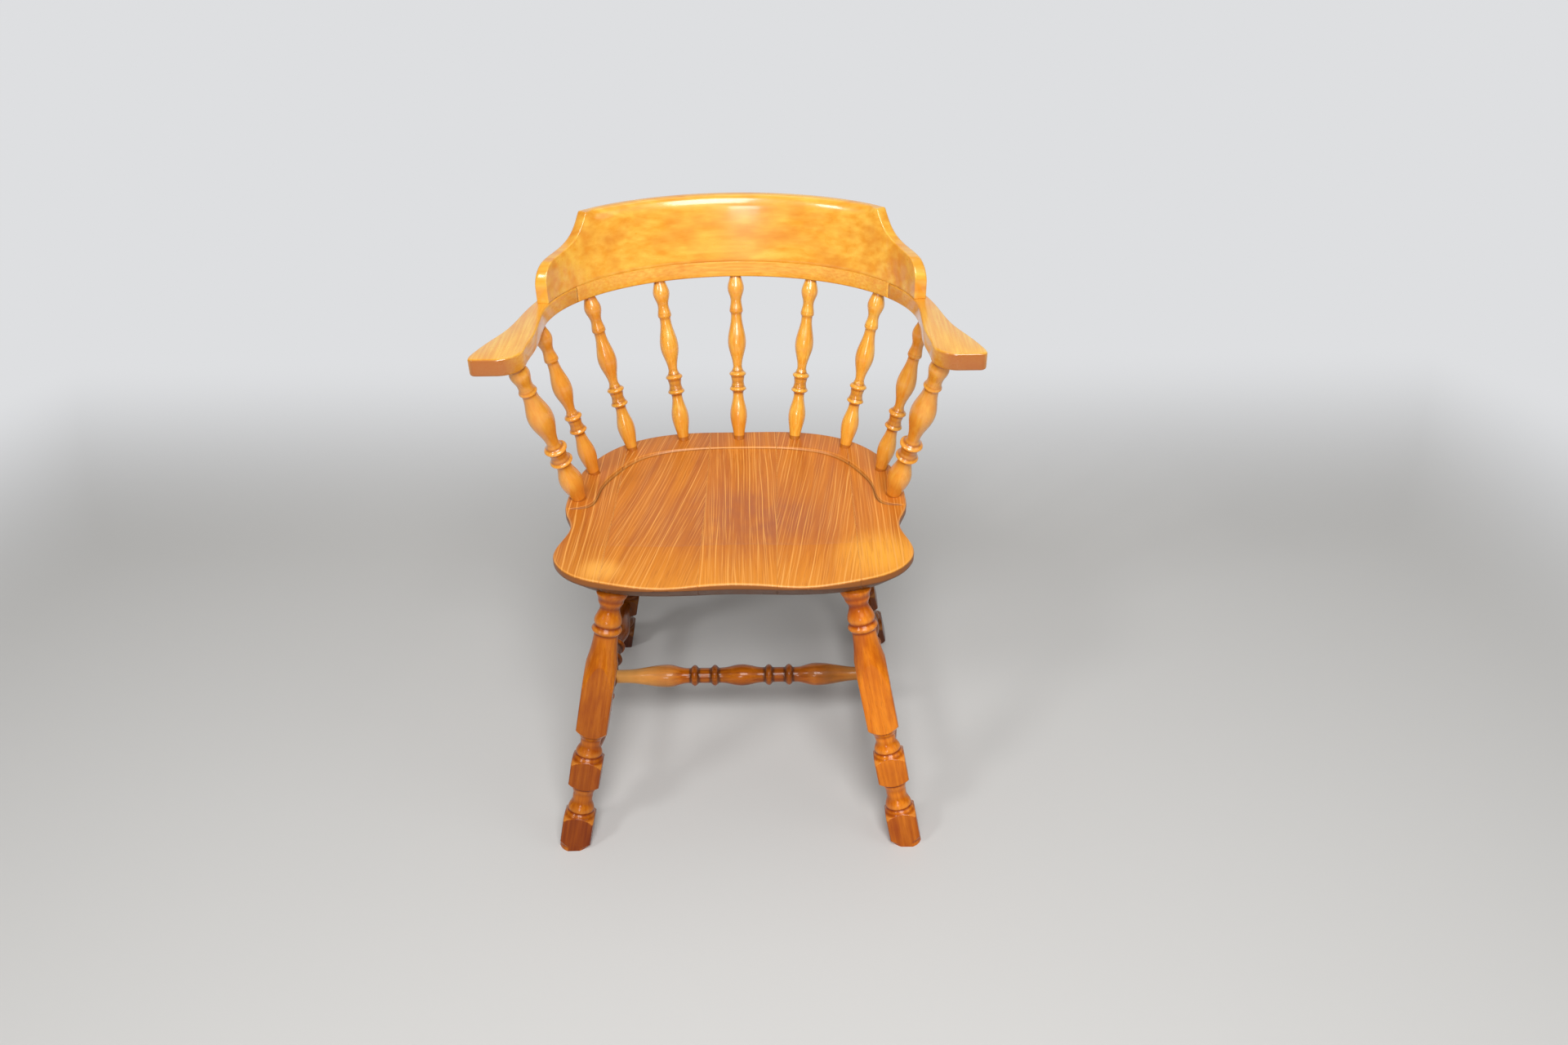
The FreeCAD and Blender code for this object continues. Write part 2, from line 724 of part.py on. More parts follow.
half_width = cell("bow_width") / 2
joint = cell("arm_joint_angle")
under = cell("arm_height") - cell("bow_thickness")
inner_right, outer_right = bow_point(joint, -half_width), bow_point(joint, half_width)
inner_left, outer_left = bow_point(-joint, -half_width), bow_point(-joint, half_width)
centre_plan = flat_sketch("bow_centre_plan", [
    bow_arc(-half_width, -joint, joint),
    Part.LineSegment(inner_right, outer_right),
    bow_arc(half_width, -joint, joint),
    Part.LineSegment(outer_left, inner_left),
], under)
centre_blank = prism("bow_centre_blank", centre_plan, "Sizes.bow_thickness")


SWEEP = ((0.16, 0.90), (0.35, 0.62), (0.635, 0.245))


def arm_plan():
    """Right arm in plan: the bow's curve, a slow outward sweep and a paw with a rounded front. SWEEP
    holds shares of the way back from the paw and of the flare."""
    inner_end, outer_end = bow_point(90, -half_width), bow_point(90, half_width)
    front, reach = -cell("paw_front"), cell("paw_half_reach")
    round_in, round_out = cell("paw_inner_radius"), cell("paw_outer_radius")
    inner_side = cell("bow_half_width") - half_width
    outer_side = cell("bow_half_width") + half_width
    way_back = cell("bow_centre_back") - front
    corner_side = inner_side + cell("paw_inner_stand")
    diagonal = 1 - math.sqrt(0.5)
    inner_corner = at(corner_side, front + round_in)
    inner_round = at(corner_side + round_in * diagonal, front + round_in * diagonal)
    inner_front = at(corner_side + round_in, front)
    outer_front = at(reach - round_out, front)
    outer_round = at(reach - round_out * diagonal, front + round_out * diagonal)
    outer_corner = at(reach, front + round_out)
    sweep = [at(outer_side + (reach - outer_side) * flare, front + way_back * way) for way, flare in SWEEP]
    forward, backward = Vector(0, -1, 0), Vector(0, 1, 0)
    return [
        bow_arc(-half_width, joint, 90),
        spline([inner_end, at(inner_side, front + way_back / 2), inner_corner], forward, forward),
        Part.Arc(inner_corner, inner_round, inner_front),
        Part.LineSegment(inner_front, outer_front),
        Part.Arc(outer_front, outer_round, outer_corner),
        spline([outer_corner] + sweep + [outer_end], backward, backward),
        bow_arc(half_width, joint, 90),
        Part.LineSegment(outer_right, inner_right),
    ]


def long_edges(shape):
    """Numbers of the level edges of the arm, apart from its joint with the bow."""
    joint_middle = (inner_right + outer_right) * 0.5
    found = []
    for number, edge in enumerate(shape.Edges, start=1):
        level = edge.BoundBox.ZLength < cell("fit_clearance")
        if level and lifted(edge.CenterOfMass, 0).distanceToPoint(joint_middle) > half_width:
            found.append(number)
    return found


right_plan = flat_sketch("arm_plan", arm_plan(), under)
right_block = prism("arm_block_right", right_plan, "Sizes.bow_thickness")
doc.recompute()
right_blank = doc.addObject("Part::Fillet", "arm_blank_right")
right_blank.Base = right_block
right_blank.Edges = [(number, cell("arm_edge_round"), cell("arm_edge_round"))
                     for number in long_edges(right_block.Shape)]
left_blank = doc.addObject("Part::Mirroring", "arm_blank_left")
left_blank.Source = right_blank
left_blank.Normal = Vector(1, 0, 0)

# Dowels that pin the crest rail down and the arms to the bow

crest_dowels = []
dowel_half = cell("dowel_length") / 2
arm_top = cell("arm_height")
dowel_angle = cell("crest_dowel_angle")
for angle, place in ((-dowel_angle, "left"), (0.0, "centre"), (dowel_angle, "right")):
    spot = lifted(bow_point(angle), arm_top)
    crest_dowels.append(("crest_dowel_" + place, spot - Vector(0, 0, dowel_half / 2),
                         spot + Vector(0, 0, dowel_half)))
arm_dowels = []
for sign, hand in ((-1, "left"), (1, "right")):
    spot = lifted(bow_point(sign * joint), (under + arm_top) / 2)
    turn = math.radians(sign * joint)
    along = Vector(math.cos(turn), -math.sin(turn) * cell("bow_depth") / cell("bow_half_width"), 0)
    along = along * (1 / along.Length)
    arm_dowels.append(("arm_dowel_" + hand, spot - along * dowel_half, spot + along * dowel_half))

dowel_holes = []
for label, low, high in crest_dowels + arm_dowels:
    node(rod(label, "Sizes.dowel", low, high), label)
    grow = (high - low) * (cell("fit_clearance") / (high - low).Length)
    dowel_holes.append(rod(label + "_hole", "Sizes.dowel", low - grow, high + grow, "Sizes.fit_clearance"))

all_bow_holes = fused("bow_holes", bow_holes + dowel_holes)
node(cut("bow_centre", centre_blank, all_bow_holes), "bow_centre")
node(cut("arm_left", left_blank, all_bow_holes), "arm_left")
node(cut("arm_right", right_blank, all_bow_holes), "arm_right")


# Crest rail


def crest_section(lean, thickness, height):
    """The rail in plan at one height: its front face leans out with height, its ends are square."""
    inner = lean - half_width
    outer = inner + thickness
    end = cell("crest_end_angle")
    return flat_sketch(f"crest_plan_{round(height)}", [
        bow_arc(inner, -end, end),
        Part.LineSegment(bow_point(end, inner), bow_point(end, outer)),
        bow_arc(outer, -end, end),
        Part.LineSegment(bow_point(-end, outer), bow_point(-end, inner)),
    ], height)


crest_top = arm_top + cell("crest_height")
crest_blank = doc.addObject("Part::Loft", "crest_blank")
crest_blank.Sections = [
    crest_section(0.0, cell("crest_thickness"), arm_top),
    crest_section(cell("crest_rake"), cell("crest_thickness"), crest_top),
]
crest_blank.Solid = True
crest_blank.Ruled = True


def shoulder_tool(sign, hand):
    """Cuts the ogee at one end: the plane follows the rail's end, the cut runs square to it."""
    end = bow_point(sign * cell("crest_end_angle"))
    corner = bow_point(sign * cell("crest_corner_angle"))
    chord = (corner - end).Length
    along = (corner - end) * (1 / chord)
    outward = Vector(along.y, -along.x, 0) * sign
    rise = cell("crest_end_height")
    shelf = cell("crest_shelf_height")
    shelf_start = cell("crest_shelf_start")
    top = cell("crest_height")

    def spot(run, height):
        return end + along * run + Vector(0, 0, arm_top + height)

    wire = Part.Wire([
        Part.Arc(spot(0, rise), spot(0.26 * shelf_start, rise + 0.68 * (shelf - rise)),
                 spot(shelf_start, shelf)).toShape(),
        Part.Arc(spot(shelf_start, shelf), spot(0.69 * chord, shelf + 0.3 * (top - shelf)),
                 spot(chord, top)).toShape(),
        Part.LineSegment(spot(chord, top), spot(chord, 2 * top)).toShape(),
        Part.LineSegment(spot(chord, 2 * top), spot(-chord, 2 * top)).toShape(),
        Part.LineSegment(spot(-chord, 2 * top), spot(-chord, rise)).toShape(),
        Part.LineSegment(spot(-chord, rise), spot(0, rise)).toShape(),
    ])
    face = Part.Face(wire)
    tool = doc.addObject("Part::Feature", "crest_shoulder_" + hand)
    tool.Shape = face.extrude(outward * (2 * chord)).translated(outward * -chord)
    return tool


shoulders = fused("crest_shoulders", [shoulder_tool(-1, "left"), shoulder_tool(1, "right")])
crest_shaped = cut("crest_shaped", crest_blank, shoulders)
doc.recompute()


def top_edges(shape, height, inner):
    """Numbers of the level top edge on the front (inner) or back (outer) side of the rail."""
    found = []
    for number, edge in enumerate(shape.Edges, start=1):
        box = edge.BoundBox
        if box.ZMin > height - 0.01 and box.ZMax < height + 0.01 and edge.Length > cell("crest_height"):
            found.append((box.YMax, number))
    found.sort()
    return found[0][1] if inner else found[-1][1]


crest_rounded = doc.addObject("Part::Fillet", "crest_rounded")
crest_rounded.Base = crest_shaped
front_edge = top_edges(crest_shaped.Shape, crest_top, True)
back_edge = top_edges(crest_shaped.Shape, crest_top, False)
crest_rounded.Edges = [
    (front_edge, cell("crest_front_round"), cell("crest_front_round")),
    (back_edge, cell("crest_back_round"), cell("crest_back_round")),
]
node(cut("crest_rail", crest_rounded, fused("crest_holes", dowel_holes[:3])), "crest_rail")

# Check every object, then write one file for each piece

doc.recompute()
for thing in doc.Objects:
    troubled = [word for word in thing.State if word in ("Invalid", "Error")]
    if troubled:
        raise RuntimeError(f"{thing.Name} is {troubled[0]}")
for piece in nodes:
    if piece.Shape.isNull() or not piece.Shape.isValid():
        raise RuntimeError(f"{piece.Label} has no sound shape")
os.makedirs("parts", exist_ok=True)
for piece in nodes:
    piece.Shape.exportStep(f"parts/{piece.Label}.step")
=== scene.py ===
import math
from collections import namedtuple

import bmesh
import bpy
import numpy as np
from mathutils import Matrix, Vector


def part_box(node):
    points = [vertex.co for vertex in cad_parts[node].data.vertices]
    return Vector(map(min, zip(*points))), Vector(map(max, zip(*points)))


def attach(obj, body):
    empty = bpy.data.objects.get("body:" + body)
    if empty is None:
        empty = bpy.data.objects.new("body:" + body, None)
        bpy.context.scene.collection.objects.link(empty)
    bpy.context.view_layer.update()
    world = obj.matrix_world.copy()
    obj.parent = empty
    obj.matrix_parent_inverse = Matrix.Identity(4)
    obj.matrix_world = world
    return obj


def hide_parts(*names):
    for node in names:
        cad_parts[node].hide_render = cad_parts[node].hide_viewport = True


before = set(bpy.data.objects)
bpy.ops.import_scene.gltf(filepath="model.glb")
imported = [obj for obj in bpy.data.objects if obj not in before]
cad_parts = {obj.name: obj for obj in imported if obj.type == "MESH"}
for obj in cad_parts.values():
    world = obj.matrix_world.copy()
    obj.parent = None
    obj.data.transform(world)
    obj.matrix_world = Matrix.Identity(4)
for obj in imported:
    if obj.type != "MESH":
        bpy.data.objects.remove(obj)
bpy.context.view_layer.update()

bl_info = {
    "name": "Captain's Chair",
    "version": (1, 0, 0),
    "blender": (4, 5, 0),
    "location": "View3D > Sidebar > Chair",
    "description": "Dresses the packed captain's chair: oak seat, lacquered maple turnings and stage",
    "category": "Object",
}

MM = 0.001


def linear(code):
    """Linear colour of an sRGB hex code such as F3A93E."""
    channels = [int(code[i:i + 2], 16) / 255 for i in (0, 2, 4)]
    return [c / 12.92 if c <= 0.04045 else ((c + 0.055) / 1.055) ** 2.4 for c in channels]


def length(name, default, description):
    """A size in metres, given in millimetres."""
    return bpy.props.FloatProperty(name=name, description=description, default=default * MM,
                                   min=0.0, unit="LENGTH", precision=4)


def colour(name, code, description):
    return bpy.props.FloatVectorProperty(name=name, description=description, subtype="COLOR",
                                         size=3, min=0.0, max=1.0, default=linear(code))


# Sizes and colours that a user may change


class ChairSeatSizes(bpy.types.PropertyGroup):
    height: length("Height", 425, "Floor to the spindle deck")
    thickness: length("Thickness", 35, "Thickness of the seat blank")
    edge_band: length("Edge band", 14, "Deck down to the start of the undercut")
    under_inset: length("Undercut", 18, "How far the underside is drawn in")
    half_width: length("Half width", 248.5, "Middle to the widest front corner")
    lobe_half_width: length("Lobe half width", 251, "Middle to the lobe in front of the arm post")
    waist_half_width: length("Waist half width", 235.5, "Middle to the waist")
    lobe_reach: length("Lobe reach", 10, "How far the lobe lies in front of the plan centre")
    lobe_half_length: length("Lobe half length", 13, "Middle of the lobe to its ends")
    waist_reach: length("Waist reach", 61, "How far the waist lies in front of the plan centre")
    corner_reach: length("Corner reach", 135, "How far the widest corner lies in front")
    front_reach: length("Front reach", 206, "How far the front edge lies in front")
    back_reach: length("Back reach", 206, "How far the back edge lies behind")
    front_flat: length("Front flat", 84, "Middle to where the front edge starts to curve back")
    dish_depth: length("Dish depth", 9, "Depth of the bowl of the saddle")
    dish_step: length("Dish step", 1, "Step from the deck down into the dish")
    deck_margin: length("Deck margin", 33, "Spindle line to the deck's front line")
    pommel_relief: length("Pommel relief", 2, "Depth over the pommel at the front")
    pommel_set_back: length("Pommel set-back", 3, "How far the front edge is drawn in at the pommel")
    pommel_width: length("Pommel width", 34, "Width of the pommel's swell")
    thigh_relief: length("Thigh relief", 7, "Depth of the thigh hollows at the front")
    thigh_side: length("Thigh hollow", 92.4, "Middle to each thigh hollow")
    thigh_width: length("Thigh hollow width", 62, "Width of a thigh hollow's fall")
    edge_round: length("Edge round", 4, "Rounding of the top edge")
    groove_depth: length("Groove depth", 1.4, "Depth of the cut line in front of the deck")
    groove_width: length("Groove width", 2.6, "Width of the cut line in front of the deck")


class ChairArmSizes(bpy.types.PropertyGroup):
    height: length("Height", 695, "Floor to the arm's top")
    thickness: length("Thickness", 24.5, "Thickness of the arm bow")
    half_width: length("Half width", 273, "Middle to the bow's centre line at the sides")
    depth: length("Depth", 199.5, "Plan centre of the bow to its centre line at the back")
    width: length("Width", 22.5, "Width of the bow seen from above")
    centre_back: length("Centre back", 63, "How far the bow's plan centre lies behind")
    paw_front: length("Paw front", 85, "How far the paws reach forward")
    paw_half_reach: length("Paw half reach", 334.5, "Middle to the outside of the paws")
    paw_inner_radius: length("Paw inner radius", 33, "Rounding of the paw's inner corner")
    paw_outer_radius: length("Paw outer radius", 8, "Rounding of the paw's outer corner")
    paw_inner_stand: length("Paw inner stand", 4, "How far the paw's inner corner stands out")
    edge_round: length("Edge round", 3, "Rounding of the arms' edges")
    joint_ease: length("Joint ease", 0.4, "Broken edges along the joint of bow and crest rail")
    crest_height: length("Crest height", 96, "Height of the crest rail over the bow")
    crest_rake: length("Crest rake", 17, "How far the crest rail leans back over its height")
    crest_thickness: length("Crest thickness", 21, "Thickness of the crest rail")
    crest_end: length("Crest end", 24, "Height of the crest rail's upright end")
    crest_shelf: length("Crest shelf", 54, "Height of the low shelf of the ogee")
    crest_shelf_start: length("Shelf start", 29, "End of the rail to the low shelf")
    crest_front_round: length("Crest front round", 9, "Rolled front edge of the crest rail")
    crest_roll_depth: length("Crest roll depth", 19, "How far down the rolled front edge reaches")
    crest_back_round: length("Crest back round", 6, "Rounded back edge of the crest rail")
    crest_shoulder_round: length("Shoulder round", 1.8, "Eased edges along the ogee shoulders")


class ChairTurningSizes(bpy.types.PropertyGroup):
    spindle_end: length("Spindle end", 17, "Diameter at both ends of a spindle")
    spindle_foot_swell: length("Spindle foot swell", 27, "Diameter of the lower vase")
    spindle_swell: length("Spindle swell", 28.5, "Diameter of the upper vase")
    spindle_neck: length("Spindle neck", 14.6, "Diameter of the necks")
    spindle_ring: length("Spindle ring", 27, "Diameter of the rings")
    spindle_waist: length("Spindle waist", 18.8, "Diameter between the rings")
    spindle_collar: length("Spindle collar", 21, "Diameter of the upper collar")
    spindle_head: length("Spindle head", 25.5, "Diameter of the acorn head")
    leg_square: length("Leg square", 44, "Side of the square stock")
    leg_base_bell: length("Leg base bell", 38, "Diameter of the bells over the blocks")
    leg_neck: length("Leg neck", 28.5, "Diameter of the coves over the bells")
    leg_foot: length("Leg foot", 47, "Diameter of the rounded foot at the floor")
    leg_vase_neck: length("Vase neck", 33.5, "Diameter at the top of the long vase")
    leg_collar: length("Leg collar", 42.5, "Diameter of the collar ring")
    leg_bell: length("Leg bell", 38.5, "Diameter of the bell over the collar")
    leg_cup: length("Leg cup", 44.5, "Diameter under the seat")
    leg_cup_neck: length("Cup neck", 27.5, "Diameter under the cup")
    stretcher_height: length("Stretcher height", 113.5, "Floor to the stretchers' axes")
    stretcher_end: length("Stretcher end", 21, "Diameter at the ends")
    stretcher_vase: length("Stretcher vase", 36, "Largest diameter of the vases")
    stretcher_ring: length("Stretcher ring", 34, "Diameter of the rings")
    stretcher_swell: length("Stretcher swell", 34, "Diameter of the middle swell")
    stretcher_neck: length("Stretcher neck", 24, "Diameter beside the rings")
    ring_width: length("Ring width", 10, "Width of the stretcher rings")
    inner_ring: length("Inner ring", 43, "Middle of a stretcher to its inner rings")
    outer_ring: length("Outer ring", 75, "Middle of a stretcher to its outer rings")
    vase_place: length("Vase place", 118, "Middle of a stretcher to its vases")


class ChairFinish(bpy.types.PropertyGroup):
    maple_light: colour("Maple light", "FAC44E", "Bright early wood of the lacquered maple")
    maple_mid: colour("Maple", "EFA22B", "Body colour of the lacquered maple")
    # Its dark in the coves is painted shade; on sawn ends it is end grain
    maple_dark: colour("Maple dark", "A85610", "Coves and end grain of the lacquered maple")
    maple_amber: colour("Maple amber", "DB7C18", "Mottle of the maple, where the finish has aged")
    base_amber: colour("Leg amber", "9A400C", "Mottle of the stained legs")
    base_light: colour("Leg light", "DB801A", "Bright streaks of the stained legs")
    base_mid: colour("Leg", "C26408", "Body colour of the stained legs")
    # Its dark in the coves and at the top of a leg is painted shade
    base_dark: colour("Leg dark", "782600", "Feet and coves of the stained legs")
    stretcher_dark: colour("Stretcher dark", "4A2410", "Rings and blotches of the stretchers")
    # Paler crowns, edges and shoulders: partly rubbed finish and partly painted highlight
    maple_wear_and_highlight: colour("Maple worn", "F0B060", "Edges and shoulders where the finish is rubbed")
    oak_line: colour("Oak line", "F6B05A", "Pale grain lines of the oak seat")
    oak_mid: colour("Oak", "DE8424", "Body colour of the oak seat")
    oak_dark: colour("Oak dark", "B65C1A", "Dark early wood of the oak seat")
    oak_patch: colour("Oak rubbed", "AC5F3A", "Mauve-brown patch in the middle of the seat")
    # Painted highlights on the front corners, and painted light along the front of the seat
    oak_highlight: colour("Oak glow", "FFB23C", "Front corners, where legs have rubbed the seat bright")
    # The edge's dark is partly end grain and partly painted shade; under the seat it is painted shade
    oak_edge: colour("Oak edge", "8C4E10", "End grain round the seat's edge")
    floor: colour("Floor", "CFCECC", "Plain pale floor")
    backdrop: colour("Backdrop", "DEDFE1", "Plain pale backdrop")


class ChairSettings(bpy.types.PropertyGroup):
    seat: bpy.props.PointerProperty(type=ChairSeatSizes)
    arm: bpy.props.PointerProperty(type=ChairArmSizes)
    turned: bpy.props.PointerProperty(type=ChairTurningSizes)
    finish: bpy.props.PointerProperty(type=ChairFinish)


# Places of the joints in the plan, in metres: beside the middle, behind the plan centre

FRONT_FOOT = (0.2438, -0.265)
FRONT_TOP = (0.1653, -0.1663)
REAR_FOOT = (0.230, 0.199)
REAR_TOP = (0.152, 0.102)
POST_BASE = (0.2318, 0.010)
POST_TOP = (0.281, -0.051)
FLANK_BASE = (0.219, 0.082)
QUARTER_BASE = (0.1686, 0.154)
INNER_BASE = (0.089, 0.184)
CENTRE_BASE = (0.0, 0.186)
BOARD_JOINTS = (-0.178, -0.046, 0.060, 0.172)
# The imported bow: its plan centre behind the chair's, its depth and its width
BOW_CENTRE_BACK, BOW_DEPTH, BOW_WIDTH = 0.063, 0.1995, 0.0225


def settings():
    return bpy.context.scene.captains_chair


def plan_shift():
    """Offset of the plan centre behind the frame's origin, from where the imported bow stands."""
    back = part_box("bow_centre")[1][1]
    return back - BOW_CENTRE_BACK - BOW_DEPTH - BOW_WIDTH / 2


SHIFT = plan_shift()


def at(place, height=0.0, side=1):
    return Vector((side * place[0], place[1] + SHIFT, height))


# Mesh helpers


def arc_through(start, middle, end, count):
    """Points of the circular arc from start through middle to end, in the plane."""
    (ax, ay), (bx, by), (cx, cy) = start, middle, end
    twice = 2 * (ax * (by - cy) + bx * (cy - ay) + cx * (ay - by))
    if abs(twice) < 1e-12:
        return [(ax + (cx - ax) * i / count, ay + (cy - ay) * i / count) for i in range(count + 1)]
    a2, b2, c2 = ax * ax + ay * ay, bx * bx + by * by, cx * cx + cy * cy
    ux = (a2 * (by - cy) + b2 * (cy - ay) + c2 * (ay - by)) / twice
    uy = (a2 * (cx - bx) + b2 * (ax - cx) + c2 * (bx - ax)) / twice
    first = math.atan2(ay - uy, ax - ux)
    last = math.atan2(cy - uy, cx - ux)
    through = math.atan2(by - uy, bx - ux)
    turn = 2 * math.pi
    sweep = (last - first) % turn
    if (through - first) % turn > sweep:
        sweep -= turn
    radius = math.hypot(ax - ux, ay - uy)
    return [(ux + radius * math.cos(first + sweep * i / count),
             uy + radius * math.sin(first + sweep * i / count)) for i in range(count + 1)]


def cubic_through(points, count, start=None, end=None):
    """A smooth cubic through plan points by chord length, with free or given end directions."""
    knots = np.array([tuple(p)[:2] for p in points], float)
    chords = np.linalg.norm(np.diff(knots, axis=0), axis=1)
    along = np.concatenate([[0.0], np.cumsum(chords)])
    last = len(knots) - 1
    system = np.zeros((last + 1, last + 1))
    known = np.zeros((last + 1, 2))
    for i in range(1, last):
        system[i, i - 1] = 1 / chords[i - 1]
        system[i, i] = 2 / chords[i - 1] + 2 / chords[i]
        system[i, i + 1] = 1 / chords[i]
        known[i] = 3 * ((knots[i] - knots[i - 1]) / chords[i - 1] ** 2
                        + (knots[i + 1] - knots[i]) / chords[i] ** 2)
    for row, near, given in ((0, 1, start), (last, last - 1, end)):
        if given is None:
            chord = chords[0] if row == 0 else chords[-1]
            system[row, row], system[row, near] = 2 / chord, 1 / chord
            known[row] = 3 * (knots[max(row, near)] - knots[min(row, near)]) / chord ** 2
        else:
            system[row, row] = 1
            known[row] = np.array(given) / np.linalg.norm(given)
    slopes = np.linalg.solve(system, known)
    result = []
    for s in np.linspace(0, along[-1], count):
        i = min(np.searchsorted(along, s, side="right") - 1, last - 1)
        t = (s - along[i]) / chords[i]
        value = ((2 * t ** 3 - 3 * t ** 2 + 1) * knots[i]
                 + (t ** 3 - 2 * t ** 2 + t) * chords[i] * slopes[i]
                 + (-2 * t ** 3 + 3 * t ** 2) * knots[i + 1]
                 + (t ** 3 - t ** 2) * chords[i] * slopes[i + 1])
        result.append((float(value[0]), float(value[1])))
    return result


def finish_piece(name, body_mesh, node, material):
    """Turns a bmesh into a piece that rides on the chair and stands for its CAD node."""
    bmesh.ops.recalc_face_normals(body_mesh, faces=body_mesh.faces)
    mesh = bpy.data.meshes.new(name)
    body_mesh.to_mesh(mesh)
    body_mesh.free()
    mesh.polygons.foreach_set("use_smooth", [True] * len(mesh.polygons))
    mesh.materials.append(material)
    piece = bpy.data.objects.new(name, mesh)
    bpy.context.scene.collection.objects.link(piece)
    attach(piece, "root")
    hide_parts(node)


def ring_grid(rings, **layers):
    """A closed bmesh skin over rings of equal point counts; a layer holds one value for each point."""
    body = bmesh.new()
    for name in layers:
        body.verts.layers.float.new(name)
    rows = [[body.verts.new(point) for point in ring] for ring in rings]
    for name, table in layers.items():
        store = body.verts.layers.float[name]
        for row, values in zip(rows, table):
            for vert, value in zip(row, values):
                vert[store] = value
    count = len(rows[0])
    for low, high in zip(rows, rows[1:]):
        for i in range(count):
            j = (i + 1) % count
            body.faces.new((low[i], low[j], high[j], high[i]))
    cap(body, rows[0])
    cap(body, rows[-1])
    return body


def cap(body, row):
    """Closes a ring with a fan round its middle."""
    middle = body.verts.new(sum((v.co for v in row), Vector()) / len(row))
    for a, b in zip(row, row[1:] + row[:1]):
        body.faces.new((a, b, middle))


def trim(body, point, normal):
    """Cuts a body flat at a plane, keeps the side away from normal and closes the cut."""
    everything = body.verts[:] + body.edges[:] + body.faces[:]
    result = bmesh.ops.bisect_plane(body, geom=everything, dist=1e-7, plane_co=point,
                                    plane_no=normal, clear_outer=True)
    edges = [item for item in result["geom_cut"] if isinstance(item, bmesh.types.BMEdge)]
    bmesh.ops.contextual_create(body, geom=edges)


# Distance between the points of a turned outline
GOUGE_STEP = 0.0007


def swept(outline):
    """Dense (along, radius) points of a turned outline. The gouge runs level at each point of the
    outline; a third value marks a point that a straight cut leads to."""
    points = [outline[0][:2]]
    for item in outline[1:]:
        start, radius = points[-1]
        count = max(int((item[0] - start) / GOUGE_STEP), 1)
        for i in range(1, count + 1):
            share = i / count
            bend = share if len(item) == 3 else (1 - math.cos(math.pi * share)) / 2
            points.append((start + (item[0] - start) * share, radius + (item[1] - radius) * bend))
    return points


def averaged(values, width):
    """Each value's mean with as many neighbours as width on both sides."""
    kernel = np.ones(2 * width + 1) / (2 * width + 1)
    return np.convolve(np.pad(values, width, mode="edge"), kernel, mode="valid")


def soften(points):
    """Rubs the sharp corners of a turned outline down, as sanding and lacquer do."""
    along, radius = np.array(points).T
    fine = np.arange(along[0], along[-1], GOUGE_STEP)
    value = averaged(averaged(np.interp(fine, along, radius), 1), 1)
    return list(zip(fine.tolist(), value.tolist()))


# Power of the rounded square that a leg's flats make; a higher one has sharper arrises
ARRIS_POWER = 16
# Reach over which a cove is measured, its depth at full painted shade, and the least value on a crown,
# which is painted paler
COVE_REACH = 0.005
COVE_FULL = 0.0011
CROWN = -0.35
# Share of a tinted stretch over which it fades in and out
TINT_EDGE = 0.12


def cove_depths(points, tints):
    """How deep each point of a dense outline lies in a cove, up to 1, for painted shade, or how far it
    stands proud, down to CROWN, for a paler crown, partly rubbed and partly painted highlight. tints
    lists (from, to, depth) stretches: darker above 0, paler below, partly rubbed and partly painted
    highlight."""
    along, radius = np.array(points).T
    width = max(int(COVE_REACH / (along[1] - along[0])), 1)
    depths = np.clip((averaged(radius, width) - radius) / COVE_FULL, CROWN, 1)
    for first, last, depth in tints:
        edge = TINT_EDGE * (last - first)
        depths = depths + depth * np.clip(np.minimum(along - first, last - along) / edge, 0, 1)
    return np.clip(depths, -1, 1).tolist()


def turned_mesh(points, segments, square, tints):
    """A lathe body on +Z with two values on each point: its cove depth, which the finish turns into
    painted shade in coves and paler crowns, and 1 where it lies on a flat. With a square half side,
    the flats of the stock cut the turned shape."""
    rings, coves, flats = [], [], []
    for (along, radius), depth in zip(points, cove_depths(points, tints)):
        ring, flat_row = [], []
        for step in range(segments):
            angle = 2 * math.pi * step / segments
            reach = radius
            if square is not None:
                flat = square / (abs(math.cos(angle)) ** ARRIS_POWER
                                 + abs(math.sin(angle)) ** ARRIS_POWER) ** (1 / ARRIS_POWER)
                reach = min(radius, flat)
            ring.append((reach * math.cos(angle), reach * math.sin(angle), along))
            flat_row.append(1.0 if reach < radius else 0.0)
        rings.append(ring)
        flats.append(flat_row)
        coves.append([depth * (1 - flat) for flat in flat_row])
    return ring_grid(rings, cove=coves, flat=flats)


def axis_matrix(start, end):
    """Stands local +Z on the line from start to end, with the least turn."""
    turn = Vector((0, 0, 1)).rotation_difference(end - start)
    return Matrix.Translation(start) @ turn.to_matrix().to_4x4()


def turned_piece(label, start, end, points, segments, finish, seed, tints, square=None,
                 planes=(), tone=1.0):
    """A turned piece between two points, cut flat at level planes: (height, 1 above or -1 below)."""
    matrix = axis_matrix(start, end)
    body = turned_mesh(points, segments, square, tints)
    bmesh.ops.transform(body, matrix=matrix, verts=body.verts)
    for height, way in planes:
        trim(body, (0, 0, height), (0, 0, way))
    material = lacquered_maple(f"{finish.title}_{label}", finish, "Z", seed, matrix, tone)
    finish_piece(label + "_turned", body, label, material)


# Materials


def wire(tree, node, **inputs):
    """Gives each input of a node, named or by number as _0, a value or a link."""
    for key, value in inputs.items():
        socket = node.inputs[int(key[1:])] if key[0] == "_" else node.inputs[key.replace("_", " ")]
        if isinstance(value, bpy.types.NodeSocket):
            tree.links.new(value, socket)
        else:
            socket.default_value = value


def add(tree, kind, options=None, **inputs):
    """Adds a shader node, sets its options and wires its inputs."""
    node = tree.nodes.new("ShaderNode" + kind)
    for key, value in (options or {}).items():
        setattr(node, key, value)
    wire(tree, node, **inputs)
    return node


